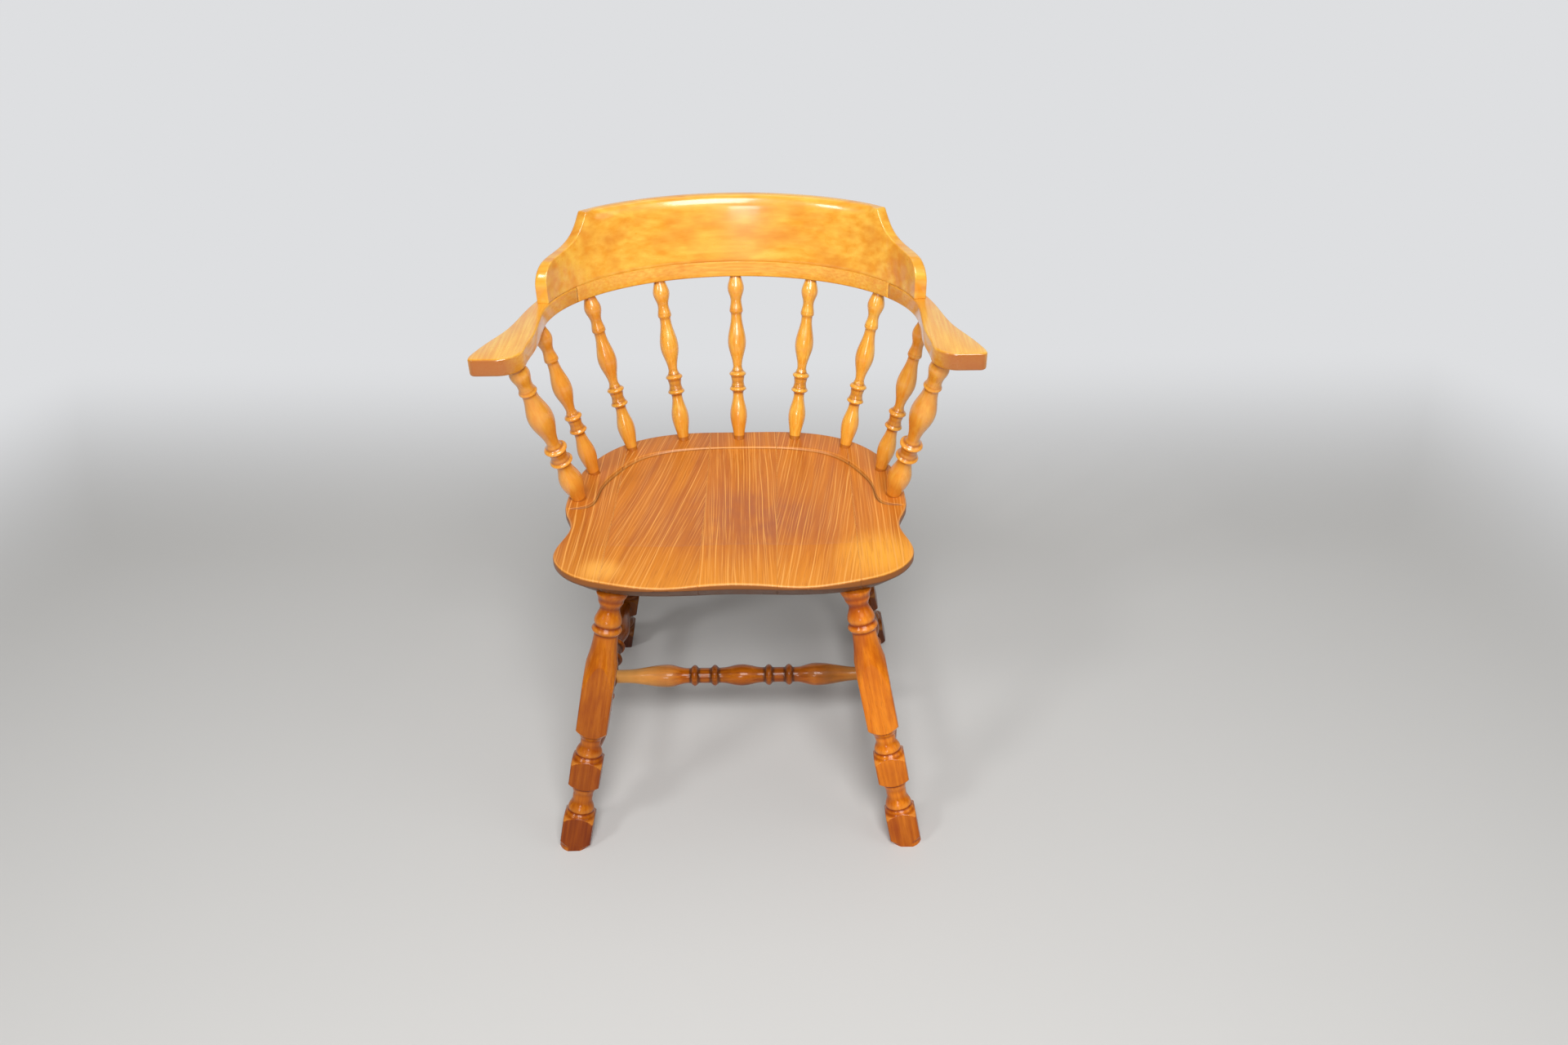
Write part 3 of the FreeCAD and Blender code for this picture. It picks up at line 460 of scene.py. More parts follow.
def reckoned(tree, operation, first, second):
    return add(tree, "Math", {"operation": operation}, _0=first, _1=second).outputs[0]


def part(tree, vector, axis):
    return add(tree, "SeparateXYZ", Vector=vector).outputs[axis]


def distance(tree, vector):
    return add(tree, "VectorMath", {"operation": "LENGTH"}, _0=vector).outputs["Value"]


def span(tree, value, low, high, first=0.0, last=1.0, kind="LINEAR"):
    """Runs from first to last while the value runs from low to high."""
    return add(tree, "MapRange", {"interpolation_type": kind}, Value=value, From_Min=low,
               From_Max=high, To_Min=first, To_Max=last).outputs[0]


def ramp(tree, factor, stops):
    """A colour ramp from (place, colour) stops."""
    node = add(tree, "ValToRGB", _0=factor)
    elements = node.color_ramp.elements
    while len(elements) < len(stops):
        elements.new(0.5)
    for element, (place, shade) in zip(elements, stops):
        element.position = place
        element.color = (*shade, 1.0)
    return node.outputs["Color"]


def grey(value):
    return (value, value, value)


def fade(tree, factor, low, high, least=0.0):
    """A grey ramp from its least value at low up to 1 at high."""
    return ramp(tree, factor, [(low, grey(least)), (high, grey(1))])


def painted(tree, body, coat, factor, strength=1.0):
    """The body colour with a coat, a colour or a socket, laid over it by factor and strength."""
    if strength != 1.0:
        factor = reckoned(tree, "MULTIPLY", factor, strength)
    if not isinstance(coat, bpy.types.NodeSocket):
        coat = (*coat, 1.0)
    return add(tree, "Mix", {"data_type": "RGBA", "clamp_factor": True}, _0=factor, _6=body,
               _7=coat).outputs[2]


def blend(first, second, share):
    return [a * (1 - share) + b * share for a, b in zip(first, second)]


def toned(shade, tone):
    return [channel * tone for channel in shade]


def new_material(name):
    """A material with its tree, its shader and the place on the chair in metres."""
    material = bpy.data.materials.new(name)
    material.use_nodes = True
    tree = material.node_tree
    return material, tree, tree.nodes["Principled BSDF"], add(tree, "TexCoord").outputs["Object"]


def stored(tree, name):
    """A value that the mesh keeps on its points."""
    return add(tree, "Attribute", {"attribute_name": name}).outputs["Fac"]


def facing(tree, axis):
    """How far the surface faces along an axis of the chair, from -1 to 1."""
    return part(tree, add(tree, "NewGeometry").outputs["Normal"], axis)


def stretched_noise(tree, vector, across_mm, along_mm, axis, detail, seed):
    """Noise drawn out along the grain; across_mm and along_mm are the sizes of one streak."""
    scale = [1000 / across_mm] * 3
    scale["XYZ".index(axis)] = 1000 / along_mm
    drawn = add(tree, "Mapping", Vector=vector, Scale=scale, Location=(seed, seed * 0.7, seed * 1.3))
    return add(tree, "TexNoise", Vector=drawn.outputs[0], Scale=1.0, Detail=detail,
               Roughness=0.55).outputs["Fac"]


def relief(tree, height, strength, depth):
    """Shallow bumps from a pattern; depth is their height in metres."""
    return add(tree, "Bump", Strength=strength, Distance=depth, Height=height).outputs[0]


# One finish of the maple: shades are its light, middle, dark, amber and wear-and-highlight
# colours; the dark also paints shade in the coves, and the last paints paler crowns, partly rubbed
# and partly painted highlight; streaks are streak_mm wide; the feet are darker by foot_shade, up
# to foot_height
MapleFinish = namedtuple("MapleFinish", "title shades streak_mm mottle flecks shine coat "
                                        "foot_height foot_shade", defaults=(0.0, 0.0))


def clear_maple(streak_mm=3.0, mottle=0.45, flecks=0.15, amber=0.0):
    finish = settings().finish
    shades = (blend(finish.maple_light, finish.maple_amber, amber),
              blend(finish.maple_mid, finish.maple_amber, amber),
              finish.maple_dark, finish.maple_amber, finish.maple_wear_and_highlight)
    return MapleFinish("lacquered_maple", shades, streak_mm, mottle, flecks, shine=0.5, coat=0.8)


def stained_maple(foot_height, foot_shade):
    finish = settings().finish
    shades = (finish.base_light, finish.base_mid, finish.base_dark, finish.base_amber,
              blend(finish.maple_wear_and_highlight, finish.base_light, 0.6))
    return MapleFinish("stained_maple", shades, streak_mm=4.5, mottle=0.7, flecks=0.3, shine=0.12,
                       coat=0.3, foot_height=foot_height, foot_shade=foot_shade)


def stretcher_maple():
    finish = settings().finish
    mid, deep = finish.base_mid, finish.stretcher_dark
    shades = (blend(finish.base_light, mid, 0.6), blend(mid, finish.base_dark, 0.6), deep,
              blend(mid, deep, 0.7), finish.maple_wear_and_highlight)
    return MapleFinish("stained_maple", shades, streak_mm=5.0, mottle=1.0, flecks=0.5, shine=0.15,
                       coat=0.3)


def lacquered_maple(name, finish, axis, seed, matrix=None, tone=1.0, end_grain=False):
    """Maple under gloss lacquer: close even grain with fine streaks along the piece, a soft mottle
    where the finish has aged, painted shade in the coves and darker stretches, painted shade at its
    joints and under the seat among them, darker sawn ends, which drink the finish in, and paler
    crowns and arrises, partly where the finish is rubbed and partly painted highlight."""
    material, tree, shader, place = new_material(name)
    light, mid, dark, amber, wear_and_highlight = (toned(shade, tone) for shade in finish.shades)
    height = part(tree, place, "Z")
    if matrix is not None:
        place = add(tree, "Mapping", {"vector_type": "TEXTURE"}, Vector=place,
                    Location=matrix.to_translation(), Rotation=matrix.to_euler()).outputs[0]
    streak = stretched_noise(tree, place, finish.streak_mm, 90, axis, 4.0, seed)
    mottle = stretched_noise(tree, place, 40, 90, axis, 3.0, seed + 5)
    pores = stretched_noise(tree, place, 1.1, 14, axis, 2.0, seed + 11)
    cove = stored(tree, "cove")
    body = ramp(tree, streak, [(0.34, mid), (0.68, light)])
    body = painted(tree, body, amber, fade(tree, mottle, 0.46, 0.68), finish.mottle)
    body = painted(tree, body, dark, fade(tree, pores, 0.58, 0.72), finish.flecks)
    # Painted shade in the coves, with the darker stretches, painted shade at joints among them
    body = painted(tree, body, dark, cove, 0.85)
    if end_grain:
        body = painted(tree, body, dark, span(tree, facing(tree, axis), -0.35, -0.95, last=0.9))
    if finish.foot_height:
        shade = finish.foot_shade
        share = span(tree, stored(tree, "flat"), 0.0, 1.0, 0.3 * shade, shade)
        low = span(tree, height, finish.foot_height, 0.0)
        deep = ramp(tree, streak, [(0.36, toned(dark, 0.85)), (0.64, blend(dark, mid, 0.25))])
        body = painted(tree, body, deep, reckoned(tree, "MULTIPLY", share, low))
    # Paler crowns and shoulders, partly rubbed finish and partly painted highlight
    body = painted(tree, body, wear_and_highlight, cove, -0.75)
    wire(tree, shader, Base_Color=body, Normal=relief(tree, streak, 0.08, 0.0004),
         Roughness=span(tree, mottle, 0.3, 0.7, 0.24, 0.36), Specular_IOR_Level=finish.shine,
         Coat_Weight=finish.coat, Coat_Roughness=0.12)
    return material


# One cycle of Blender's band pattern, in the units of its own input
BAND_CYCLE = math.pi / 10
# Sets of pale lines in the oak: spacing and length in millimetres, share of the spacing, strength
# and seed
GRAIN_SETS = ((4.6, 150, 0.24, 0.5, 0.0), (9.5, 240, 0.14, 0.8, 31.0))
# Ovals on the seat: their middle beside and behind the plan centre, and their half widths.
# The first holds a mauve-brown patch; the two at the front corners hold painted highlights
MIDDLE_PATCH = ((0.012, -0.045), (0.165, 0.135))
RIGHT_CORNER_HIGHLIGHT = ((0.205, -0.140), (0.085, 0.075))
LEFT_CORNER_HIGHLIGHT = ((-0.179, -0.170), (0.040, 0.034))
OVAL_RIM = 0.15


def grain_lines(tree, vector, spacing_mm, along_mm, share, seed):
    """Thin lines along Y, spacing_mm apart, that wander and fade in and out; share is how much of
    the spacing a line fills."""
    drawn = add(tree, "Mapping", Vector=vector, Location=(seed, seed * 0.7, 0.0),
                Scale=(BAND_CYCLE * 1000 / spacing_mm, 1000 / along_mm, 1.0)).outputs[0]
    wave = add(tree, "TexWave", {"bands_direction": "X"}, Vector=drawn, Scale=1.0, Distortion=7.0,
               Detail=2.0, Detail_Scale=0.8).outputs["Fac"]
    edge = 0.5 + 0.5 * math.cos(math.pi * share)
    strength = stretched_noise(tree, vector, 1.6 * spacing_mm, along_mm, "Y", 2.0, seed + 7)
    return reckoned(tree, "MULTIPLY", fade(tree, wave, edge - 0.06, edge + 0.04),
                    fade(tree, strength, 0.40, 0.62))


def oval(tree, place, outline):
    """1 in the middle of an oval on the seat, fading to 0 at its rim."""
    middle, half = outline
    shifted = add(tree, "Mapping", Vector=place, Scale=(1 / half[0], 1 / half[1], 0.0),
                  Location=(-middle[0] / half[0], -(middle[1] + SHIFT) / half[1], 0.0)).outputs[0]
    return span(tree, distance(tree, shifted), 1.0, OVAL_RIM, kind="SMOOTHSTEP")


def lacquered_oak(name, finish, angle, seed, tone):
    """Plain-sawn oak under satin lacquer: long thin pale lines where its open pores are cut from
    front to back, quiet bands between them, a mauve-brown patch in the middle, painted light towards
    the front and painted highlights on its corners, painted shade in the cut line before the deck
    with a painted highlight on its step, a painted highlight along the rounded top edge, and an edge
    darkened partly as end grain and partly as painted shade, over an underside in painted shade."""
    material, tree, shader, place = new_material(name)
    along = add(tree, "Mapping", Vector=place, Rotation=(0, 0, math.radians(angle))).outputs[0]
    bands = stretched_noise(tree, along, 16, 420, "Y", 3.0, seed)
    pores = stretched_noise(tree, along, 1.8, 60, "Y", 3.0, seed + 8)
    cloud = stretched_noise(tree, place, 60, 90, "Y", 3.0, 2.0)
    cove = stored(tree, "cove")
    upward = facing(tree, "Z")
    mid, dark = toned(finish.oak_mid, tone), toned(finish.oak_dark, tone)
    glow, line, edge = finish.oak_highlight, finish.oak_line, finish.oak_edge
    body = ramp(tree, bands, [(0.34, blend(mid, dark, 0.6)), (0.62, mid)])
    # Painted light towards the front of the seat, and painted highlights on its front corners
    body = painted(tree, body, blend(finish.oak_mid, glow, 0.6),
                   span(tree, part(tree, place, "Y"), -0.10, -0.21, last=0.45))
    body = painted(tree, body, glow, oval(tree, place, RIGHT_CORNER_HIGHLIGHT), 0.8)
    body = painted(tree, body, blend(glow, line, 0.5), oval(tree, place, LEFT_CORNER_HIGHLIGHT), 0.9)
    # A mauve-brown patch in the middle of the seat
    rubbed = reckoned(tree, "MULTIPLY", oval(tree, place, MIDDLE_PATCH),
                      fade(tree, cloud, 0.35, 0.60, 0.25))
    body = painted(tree, body, finish.oak_patch, rubbed)
    body = painted(tree, body, dark, fade(tree, pores, 0.50, 0.66), 0.35)
    for spacing, length_mm, share, strength, offset in GRAIN_SETS:
        lines = grain_lines(tree, along, spacing, length_mm, share, seed + offset)
        body = painted(tree, body, line, lines, strength)
    # Painted shade in the crease of the cut line, and a painted highlight on its step
    body = painted(tree, body, toned(edge, 0.55), cove, 0.95)
    body = painted(tree, body, line, cove, -0.6)
    # A painted highlight along the rounded top edge
    rim = ramp(tree, upward, [(0.55, grey(0)), (0.75, grey(0.55)), (0.96, grey(0))])
    body = painted(tree, body, line, rim)
    # The edge darker where it faces sideways, partly end grain and partly painted shade, and the
    # underside darker still as painted shade
    body = painted(tree, body, edge, span(tree, upward, 0.65, 0.20))
    body = painted(tree, body, toned(edge, 0.4), span(tree, upward, 0.0, -0.4))
    wire(tree, shader, Base_Color=body, Normal=relief(tree, pores, 0.15, 0.0003),
         Roughness=span(tree, bands, 0.3, 0.7, 0.40, 0.50), Specular_IOR_Level=0.35,
         Coat_Weight=0.2, Coat_Roughness=0.3)
    return material


# Seat


def seat_outline(count):
    """The seat's right-hand edge from back to front, as points around the plan centre."""
    seat = settings().seat
    half, lobe, corner = seat.half_width, seat.lobe_half_width, seat.corner_reach
    front, back = seat.front_reach, seat.back_reach
    points = [
        (0.0, back),
        (0.38 * half, 0.985 * back),
        (0.74 * half, 0.815 * back),
        (0.957 * half, 0.427 * back),
        (0.996 * lobe, seat.lobe_half_length - seat.lobe_reach),
        (0.988 * lobe, -seat.lobe_half_length - seat.lobe_reach),
        (seat.waist_half_width, -seat.waist_reach),
        (half, -corner),
        (0.945 * half, -0.58 * corner - 0.42 * front),
        (0.85 * half, -0.30 * corner - 0.70 * front),
        (0.70 * half, -0.11 * corner - 0.89 * front),
        (seat.front_flat, -front),
        (0.0, seat.pommel_set_back - front),
    ]
    return cubic_through(points, count, (1, 0), (-1, 0))


def deck_line(count):
    """The right-hand line where the spindle deck ends and the dish begins."""
    seat = settings().seat
    margin = seat.deck_margin
    points = [
        (0.0, CENTRE_BASE[1] - margin),
        (INNER_BASE[0], INNER_BASE[1] - 1.06 * margin),
        (QUARTER_BASE[0] - 0.5 * margin, QUARTER_BASE[1] - 0.85 * margin),
        (FLANK_BASE[0] - 0.95 * margin, FLANK_BASE[1] - 0.1 * margin),
        (POST_BASE[0] - 0.85 * margin, POST_BASE[1] + 0.7 * margin),
        (POST_BASE[0] - 0.5 * margin, POST_BASE[1] - 0.6 * margin),
        (POST_BASE[0], POST_BASE[1] - 0.82 * margin),
        (seat.lobe_half_width + margin, POST_BASE[1] - 0.75 * margin),
    ]
    return cubic_through(points, count, (1, 0))


def saddle_depth(side, back):
    """Depth of the dish under the deck: a bowl behind, two thigh hollows and a pommel in front."""
    seat = settings().seat
    ease, bowl_share, bowl_ease = 2.5, 0.74, 0.6
    edge = CENTRE_BASE[1] - seat.deck_margin
    across = min(abs(side) / seat.half_width, 1.0)
    along = min(max((edge - back) / (edge + seat.front_reach), 0.0), 1.0)
    bowl = (1 - across ** ease) * math.sin(math.pi * min(along / bowl_share, 1.0)) ** bowl_ease
    hollow = math.exp(-((abs(side) - seat.thigh_side) / seat.thigh_width) ** 2)
    pommel = math.exp(-(side / seat.pommel_width) ** 2)
    front_depth = seat.thigh_relief * hollow + seat.pommel_relief * pommel
    ahead = along ** ease
    return seat.dish_step + seat.dish_depth * bowl * (1 - ahead) + front_depth * ahead


# Rays from a pole behind the plan centre carry the rings of the seat's skin
SEAT_POLE = -0.060
SEAT_RAYS = 720
DISH_RINGS = 84
EDGE_TURNS = 5
# The smallest ring, the gap that rings leave beside the deck's line, the step of the rings that
# fill it where no line is cut, and how far they stay inside the edge, in metres
SMALLEST_RING, LINE_GAP, FILL_STEP, LINE_EDGE = 0.004, 0.0008, 0.0003, 0.0015
# Broken edge under the band
ARRIS = 0.0004
# Rings of the cut line in front of the deck, and the painted shade that each carries in the
# crease; a value below 0 is a painted highlight on the lit step
GROOVE_RINGS = {DISH_RINGS - 1: 0.6, DISH_RINGS: 1.0, DISH_RINGS + 1: 1.0, DISH_RINGS + 2: 0.9,
                DISH_RINGS + 3: -0.4, DISH_RINGS + 4: -0.2}


def crossing(polyline, angle):
    """Distance from the seat's pole to a right-hand line along a ray, or None."""
    ray = np.array([math.cos(angle), math.sin(angle)])
    line = np.array(polyline) - np.array([0.0, SEAT_POLE])
    side = line[:, 0] * ray[1] - line[:, 1] * ray[0]
    reach = line @ ray
    found = [i for i in range(len(line) - 1) if side[i] * side[i + 1] <= 0 and reach[i] > 0]
    if not found:
        return None
    i = found[0]
    t = side[i] / (side[i] - side[i + 1]) if side[i] != side[i + 1] else 0.0
    return float(reach[i] + (reach[i + 1] - reach[i]) * t)


def seat_shell():
    """The whole saddled seat as one closed skin of rings, from the dish out, down and under."""
    seat = settings().seat
    outline, line = seat_outline(900), deck_line(600)
    top, band, under = seat.height, seat.height - seat.edge_band, seat.height - seat.thickness
    middle = (seat.back_reach - seat.front_reach) / 2
    across = (seat.half_width - seat.under_inset) / seat.half_width
    total = seat.front_reach + seat.back_reach
    along = (total - 2 * seat.under_inset) / total
    groove, depth = seat.groove_width, seat.groove_depth
    pole = Vector((0, SEAT_POLE, under))
    columns, deep = [], []
    for step in range(SEAT_RAYS):
        angle = 2 * math.pi * (step + 0.5) / SEAT_RAYS
        right = angle if math.cos(angle) >= 0 else math.pi - angle
        right = (right + math.pi) % (2 * math.pi) - math.pi
        edge = crossing(outline, right)
        deck = crossing(line, right) if right > 0 else None
        inner_edge = edge - seat.edge_round
        has_deck = deck is not None and deck + groove < inner_edge
        split = deck if has_deck else inner_edge - LINE_EDGE
        ray = Vector((math.cos(angle), math.sin(angle), 0))

        def on_ray(reach, height):
            return ray * reach + Vector((0, SEAT_POLE, height))

        def dish(reach):
            p = on_ray(reach, 0)
            return top - saddle_depth(p.x, p.y)

        column = [on_ray(reach, dish(reach))
                  for reach in np.linspace(SMALLEST_RING, split - LINE_GAP, DISH_RINGS)]
        rim = top if has_deck else dish(inner_edge)
        low = dish(split)
        if has_deck:
            column += [on_ray(split + groove * across_share, height) for across_share, height in
                       ((0.0, low - 0.1 * depth), (0.3, low - 0.6 * depth), (0.55, low - 0.5 * depth),
                        (0.8, rim - 0.0004), (1.0, rim))]
            start = split + groove
        else:
            reaches = [split - 2 * FILL_STEP + FILL_STEP * i for i in range(5)]
            column += [on_ray(reach, dish(reach)) for reach in reaches]
            start = split + LINE_GAP
        column += [on_ray(reach, rim if has_deck else dish(reach))
                   for reach in np.linspace(start, inner_edge, 15)[1:]]
        for turn in range(1, EDGE_TURNS + 1):
            bend = math.pi / 2 * turn / EDGE_TURNS
            column.append(on_ray(inner_edge + seat.edge_round * math.sin(bend),
                                 rim - seat.edge_round * (1 - math.cos(bend))))
        column.append(on_ray(edge, (rim - seat.edge_round + band) / 2))
        column.append(on_ray(edge, band + 3 * ARRIS))
        column.append(on_ray(edge - 2 * ARRIS, band - ARRIS))
        foot = on_ray(edge, band)
        inset = Vector((foot.x * across, middle + (foot.y - middle) * along, under))
        column.append(foot.lerp(inset, 0.93))
        column += [inset.lerp(pole, share) for share in (0.01, 0.25, 0.5, 0.75, 0.97)]
        columns.append([p + Vector((0, SHIFT, 0)) for p in column])
        deep.append(abs(math.cos(angle)) if has_deck else None)
    rings = [list(ring) for ring in zip(*columns)]
    # The crease's painted shade is strongest at the sides, and the step's painted highlight at the back
    coves = []
    for number in range(len(rings)):
        cut = GROOVE_RINGS.get(number, 0.0)
        coves.append([0.0 if side is None else cut * (0.3 + 0.7 * side if cut > 0 else 1 - 0.5 * side)
                      for side in deep])
    return ring_grid(rings, cove=coves)


# For each board: the angle of its grain in degrees, a seed and a tone
BOARD_GRAIN = ((1, 0.0, 0.86), (12, 4.1, 0.92), (-2, 9.7, 0.94), (8, 14.2, 0.95), (0, 21.5, 0.95))


class CHAIR_OT_seat(bpy.types.Operator):
    """Builds the five boards of the saddled oak seat"""
    bl_idname = "captains_chair.seat"
    bl_label = "Seat boards"

    def execute(self, context):
        finish = settings().finish
        edges = (-1.0,) + BOARD_JOINTS + (1.0,)
        shell = seat_shell()
        for number, (left, right) in enumerate(zip(edges, edges[1:]), start=1):
            angle, offset, tone = BOARD_GRAIN[number - 1]
            board = shell.copy()
            if left > -1:
                trim(board, (left, 0, 0), (-1, 0, 0))
            if right < 1:
                trim(board, (right, 0, 0), (1, 0, 0))
            material = lacquered_oak(f"lacquered_oak_board_{number}", finish, angle, offset, tone)
            label = f"seat_board_{number}"
            finish_piece(label + "_saddled", board, label, material)
        shell.free()
        return {"FINISHED"}


# Turned work


# The back spindles from left to right: foot, and angle of the top from straight back
BACK_SPINDLES = ((FLANK_BASE, -86.0), (QUARTER_BASE, -52.2), (INNER_BASE, -25.2), (CENTRE_BASE, 0.0),
                 (INNER_BASE, 25.2), (QUARTER_BASE, 52.2), (FLANK_BASE, 86.0))
POST_GIRTH = 1.27
# How far spindles and posts run on past the planes that cut them flat; legs do by a third of
# their square
SPINDLE_SPARE = 0.012
# How far posts and spindles have aged to amber, from left to right
AMBERS = (0.5, 0.5, 0.3, 0.15, 0.05, 0.0, 0.1, 0.3, 0.45)
# Where the lip of the collar starts, in shares of the length
SPINDLE_LIP, POST_LIP = 0.775, 0.818
# The legs: side, end, tone, and the height and depth of the darker foot. The low tone of the
# rear legs is painted shadow under the seat; the front left's lower tone than the front right's
# is partly painted shade from light on the right
LEGS = ((-1, "front", 0.86, 0.44, 0.95), (-1, "rear", 0.34, 0.2, 0.9),
        (1, "front", 1.15, 0.2, 0.6), (1, "rear", 0.40, 0.2, 0.9))
# Paler shoulders, partly rubbed and partly painted highlight, and the top of a leg darkened with
# painted shadow under the seat, in shares of the length
LEG_TINTS = ((0.096, 0.131, -0.3), (0.326, 0.361, -0.3), (0.91, 1.1, 0.4))


def radii(group, names, girth=1.0):
    """Half of each of these diameters, times a girth."""
    turned = settings().turned
    return [girth * getattr(turned, group + name) / 2 for name in names]


def spindle_profile(visible, girth, spare):
    """Foot vase, spool of two rings, long vase, collar and acorn head, in shares of the length.
    The arm posts carry a longer vase, a flared collar and a slimmer head."""
    names = "end", "neck", "waist", "foot_swell", "swell", "ring", "collar", "head"
    end, neck, waist, foot, swell, ring, collar, head = radii("spindle_", names, girth)
    shapes = ((0.0, end), (0.148, foot), (0.281, 1.12 * neck), (0.292, 1.2 * neck), (0.306, ring),
              (0.313, 0.95 * ring), (0.326, 1.12 * waist), (0.352, waist), (0.386, 1.12 * waist),
              (0.400, ring), (0.408, 0.95 * ring), (0.421, 1.2 * neck), (0.446, 0.97 * neck))
    if girth > 1:
        shapes += ((0.635, swell), (0.800, 1.15 * neck), (0.810, 1.15 * neck), (0.821, collar),
                   (0.828, 0.95 * collar, "cut"), (0.838, 0.86 * collar, "cut"),
                   (0.850, 0.79 * collar, "cut"), (0.868, 1.14 * neck), (0.942, 0.87 * head),
                   (1.0, end))
    else:
        shapes += ((0.597, swell), (0.757, 1.15 * neck), (0.768, 1.15 * neck), (0.780, collar),
                   (0.844, 1.14 * neck), (0.920, head), (1.0, end))
    outline = [(0.0, end)] + [(spare + visible * item[0],) + item[1:] for item in shapes]
    outline.append((2 * spare + visible, end))
    return soften(swept(outline))


def bow_point(angle, offset=0.0):
    """A point of the bow's centre line by its angle from straight back, moved outward by offset."""
    arm = settings().arm
    turn = math.radians(angle)
    return Vector(((arm.half_width + offset) * math.sin(turn),
                   arm.centre_back + (arm.depth + offset) * math.cos(turn) + SHIFT, 0))


class CHAIR_OT_spindles(bpy.types.Operator):
    """Turns the seven back spindles and the two heavier arm posts"""
    bl_idname = "captains_chair.spindles"
    bl_label = "Spindles and arm posts"

    def execute(self, context):
        seat, arm = settings().seat, settings().arm
        deck, under = seat.height, arm.height - arm.thickness
        rows = [("arm_post_left", at(POST_BASE, deck, -1), at(POST_TOP, under, -1), POST_GIRTH)]
        for number, (base, angle) in enumerate(BACK_SPINDLES, start=1):
            top = bow_point(angle) + Vector((0, 0, under))
            rows.append((f"back_spindle_{number}", at(base, deck, -1 if angle < 0 else 1), top, 1.0))
        rows.append(("arm_post_right", at(POST_BASE, deck), at(POST_TOP, under), POST_GIRTH))
        spare = SPINDLE_SPARE
        for index, (label, base, top, girth) in enumerate(rows):
            step = (top - base).normalized()
            reach = (top - base).length
            lip = SPINDLE_LIP if girth == 1 else POST_LIP
            # Painted shade at both joints, and darker on the spool and on the collar's lip
            stretches = [(-0.004, 0.005, 0.9), (reach - 0.006, reach + 0.004, 0.6),
                         (0.285 * reach, 0.42 * reach, 0.35),
                         (lip * reach, (lip + 0.025) * reach, 0.45)]
            tints = [(spare + low, spare + high, depth) for low, high, depth in stretches]
            turned_piece(label, base - step * spare, top, spindle_profile(reach, girth, spare), 56,
                         clear_maple(amber=AMBERS[index]), 3.7 * index, tints,
                         planes=((deck, -1), (under, 1)))
        return {"FINISHED"}


def block_top(share, square, bell):
    """The rounded shoulder of a block that ends at share, with the foot of its bell, upwards."""
    return ((share - 0.046, 0.75 * square, "cut"), (share - 0.036, 0.70 * square, "cut"),
            (share - 0.027, 0.665 * square, "cut"), (share - 0.021, 0.625 * square, "cut"),
            (share - 0.0165, 0.57 * square, "cut"), (share - 0.013, 0.50 * square, "cut"),
            (share - 0.006, 0.465 * square, "cut"), (share, 0.43 * square, "cut"),
            (share + 0.002, 0.46 * bell, "cut"), (share + 0.008, bell / 2))


def leg_profile(visible, spare):
    """Foot block and bell, stretcher block and bell, long square vase, collar, bell and cup, in
    shares of the leg's length."""
    turned = settings().turned
    square, bell, collar, cup = turned.leg_square, turned.leg_bell, turned.leg_collar, turned.leg_cup
    foot, neck, cup_neck, vase_neck = radii("leg_", ("foot", "neck", "cup_neck", "vase_neck"))
    corner = 0.75 * square
    shapes = ((0.0, foot, "cut"), (0.008, 0.60 * square, "cut"), (0.020, 0.69 * square, "cut"),
              (0.036, corner, "cut"))
    shapes += block_top(0.131, square, turned.leg_base_bell)
    shapes += ((0.178, neck), (0.200, 1.02 * neck), (0.232, 0.40 * square),
               (0.240, 0.50 * square, "cut"), (0.251, 0.64 * square, "cut"), (0.268, corner, "cut"))
    shapes += block_top(0.361, square, turned.leg_base_bell)
    shapes += ((0.404, neck), (0.424, 1.04 * neck), (0.444, 0.42 * square),
               (0.452, 0.51 * square, "cut"), (0.468, 0.65 * square, "cut"), (0.494, corner, "cut"),
               (0.55, corner, "cut"), (0.836, vase_neck), (0.840, 0.46 * collar, "cut"),
               (0.849, collar / 2), (0.859, 0.45 * collar), (0.863, 0.45 * bell), (0.879, bell / 2),
               (0.928, cup_neck), (0.956, 0.40 * cup), (0.986, 0.49 * cup), (1.0, cup / 2))
    outline = [(0.0, foot)]
    outline += [(spare + visible * item[0],) + item[1:] for item in shapes]
    outline.append((spare + visible + spare, cup / 2))
    return soften(swept(outline))


def leg_line(side, end):
    """Floor point and seat point of a leg's axis."""
    under = settings().seat.height - settings().seat.thickness
    if end == "front":
        return at(FRONT_FOOT, 0, side), at(FRONT_TOP, under, side)
    return at(REAR_FOOT, 0, side), at(REAR_TOP, under, side)


class CHAIR_OT_legs(bpy.types.Operator):
    """Turns the four legs from square stock"""
    bl_idname = "captains_chair.legs"
    bl_label = "Legs"

    def execute(self, context):
        square = settings().turned.leg_square
        under = settings().seat.height - settings().seat.thickness
        spare = square / 3
        for index, (side, end, tone, foot_height, foot_shade) in enumerate(LEGS):
            foot, top = leg_line(side, end)
            step = (top - foot).normalized()
            reach = (top - foot).length
            tints = [(spare + reach * low, spare + reach * high, depth)
                     for low, high, depth in LEG_TINTS]
            turned_piece(f"leg_{end}_{'left' if side < 0 else 'right'}", foot - step * spare, top,
                         leg_profile(reach, spare), 128,
                         stained_maple(foot_height, foot_shade), 40 + 4.3 * index, tints, square / 2,
                         ((0.0, -1), (under, 1)), tone)
        return {"FINISHED"}


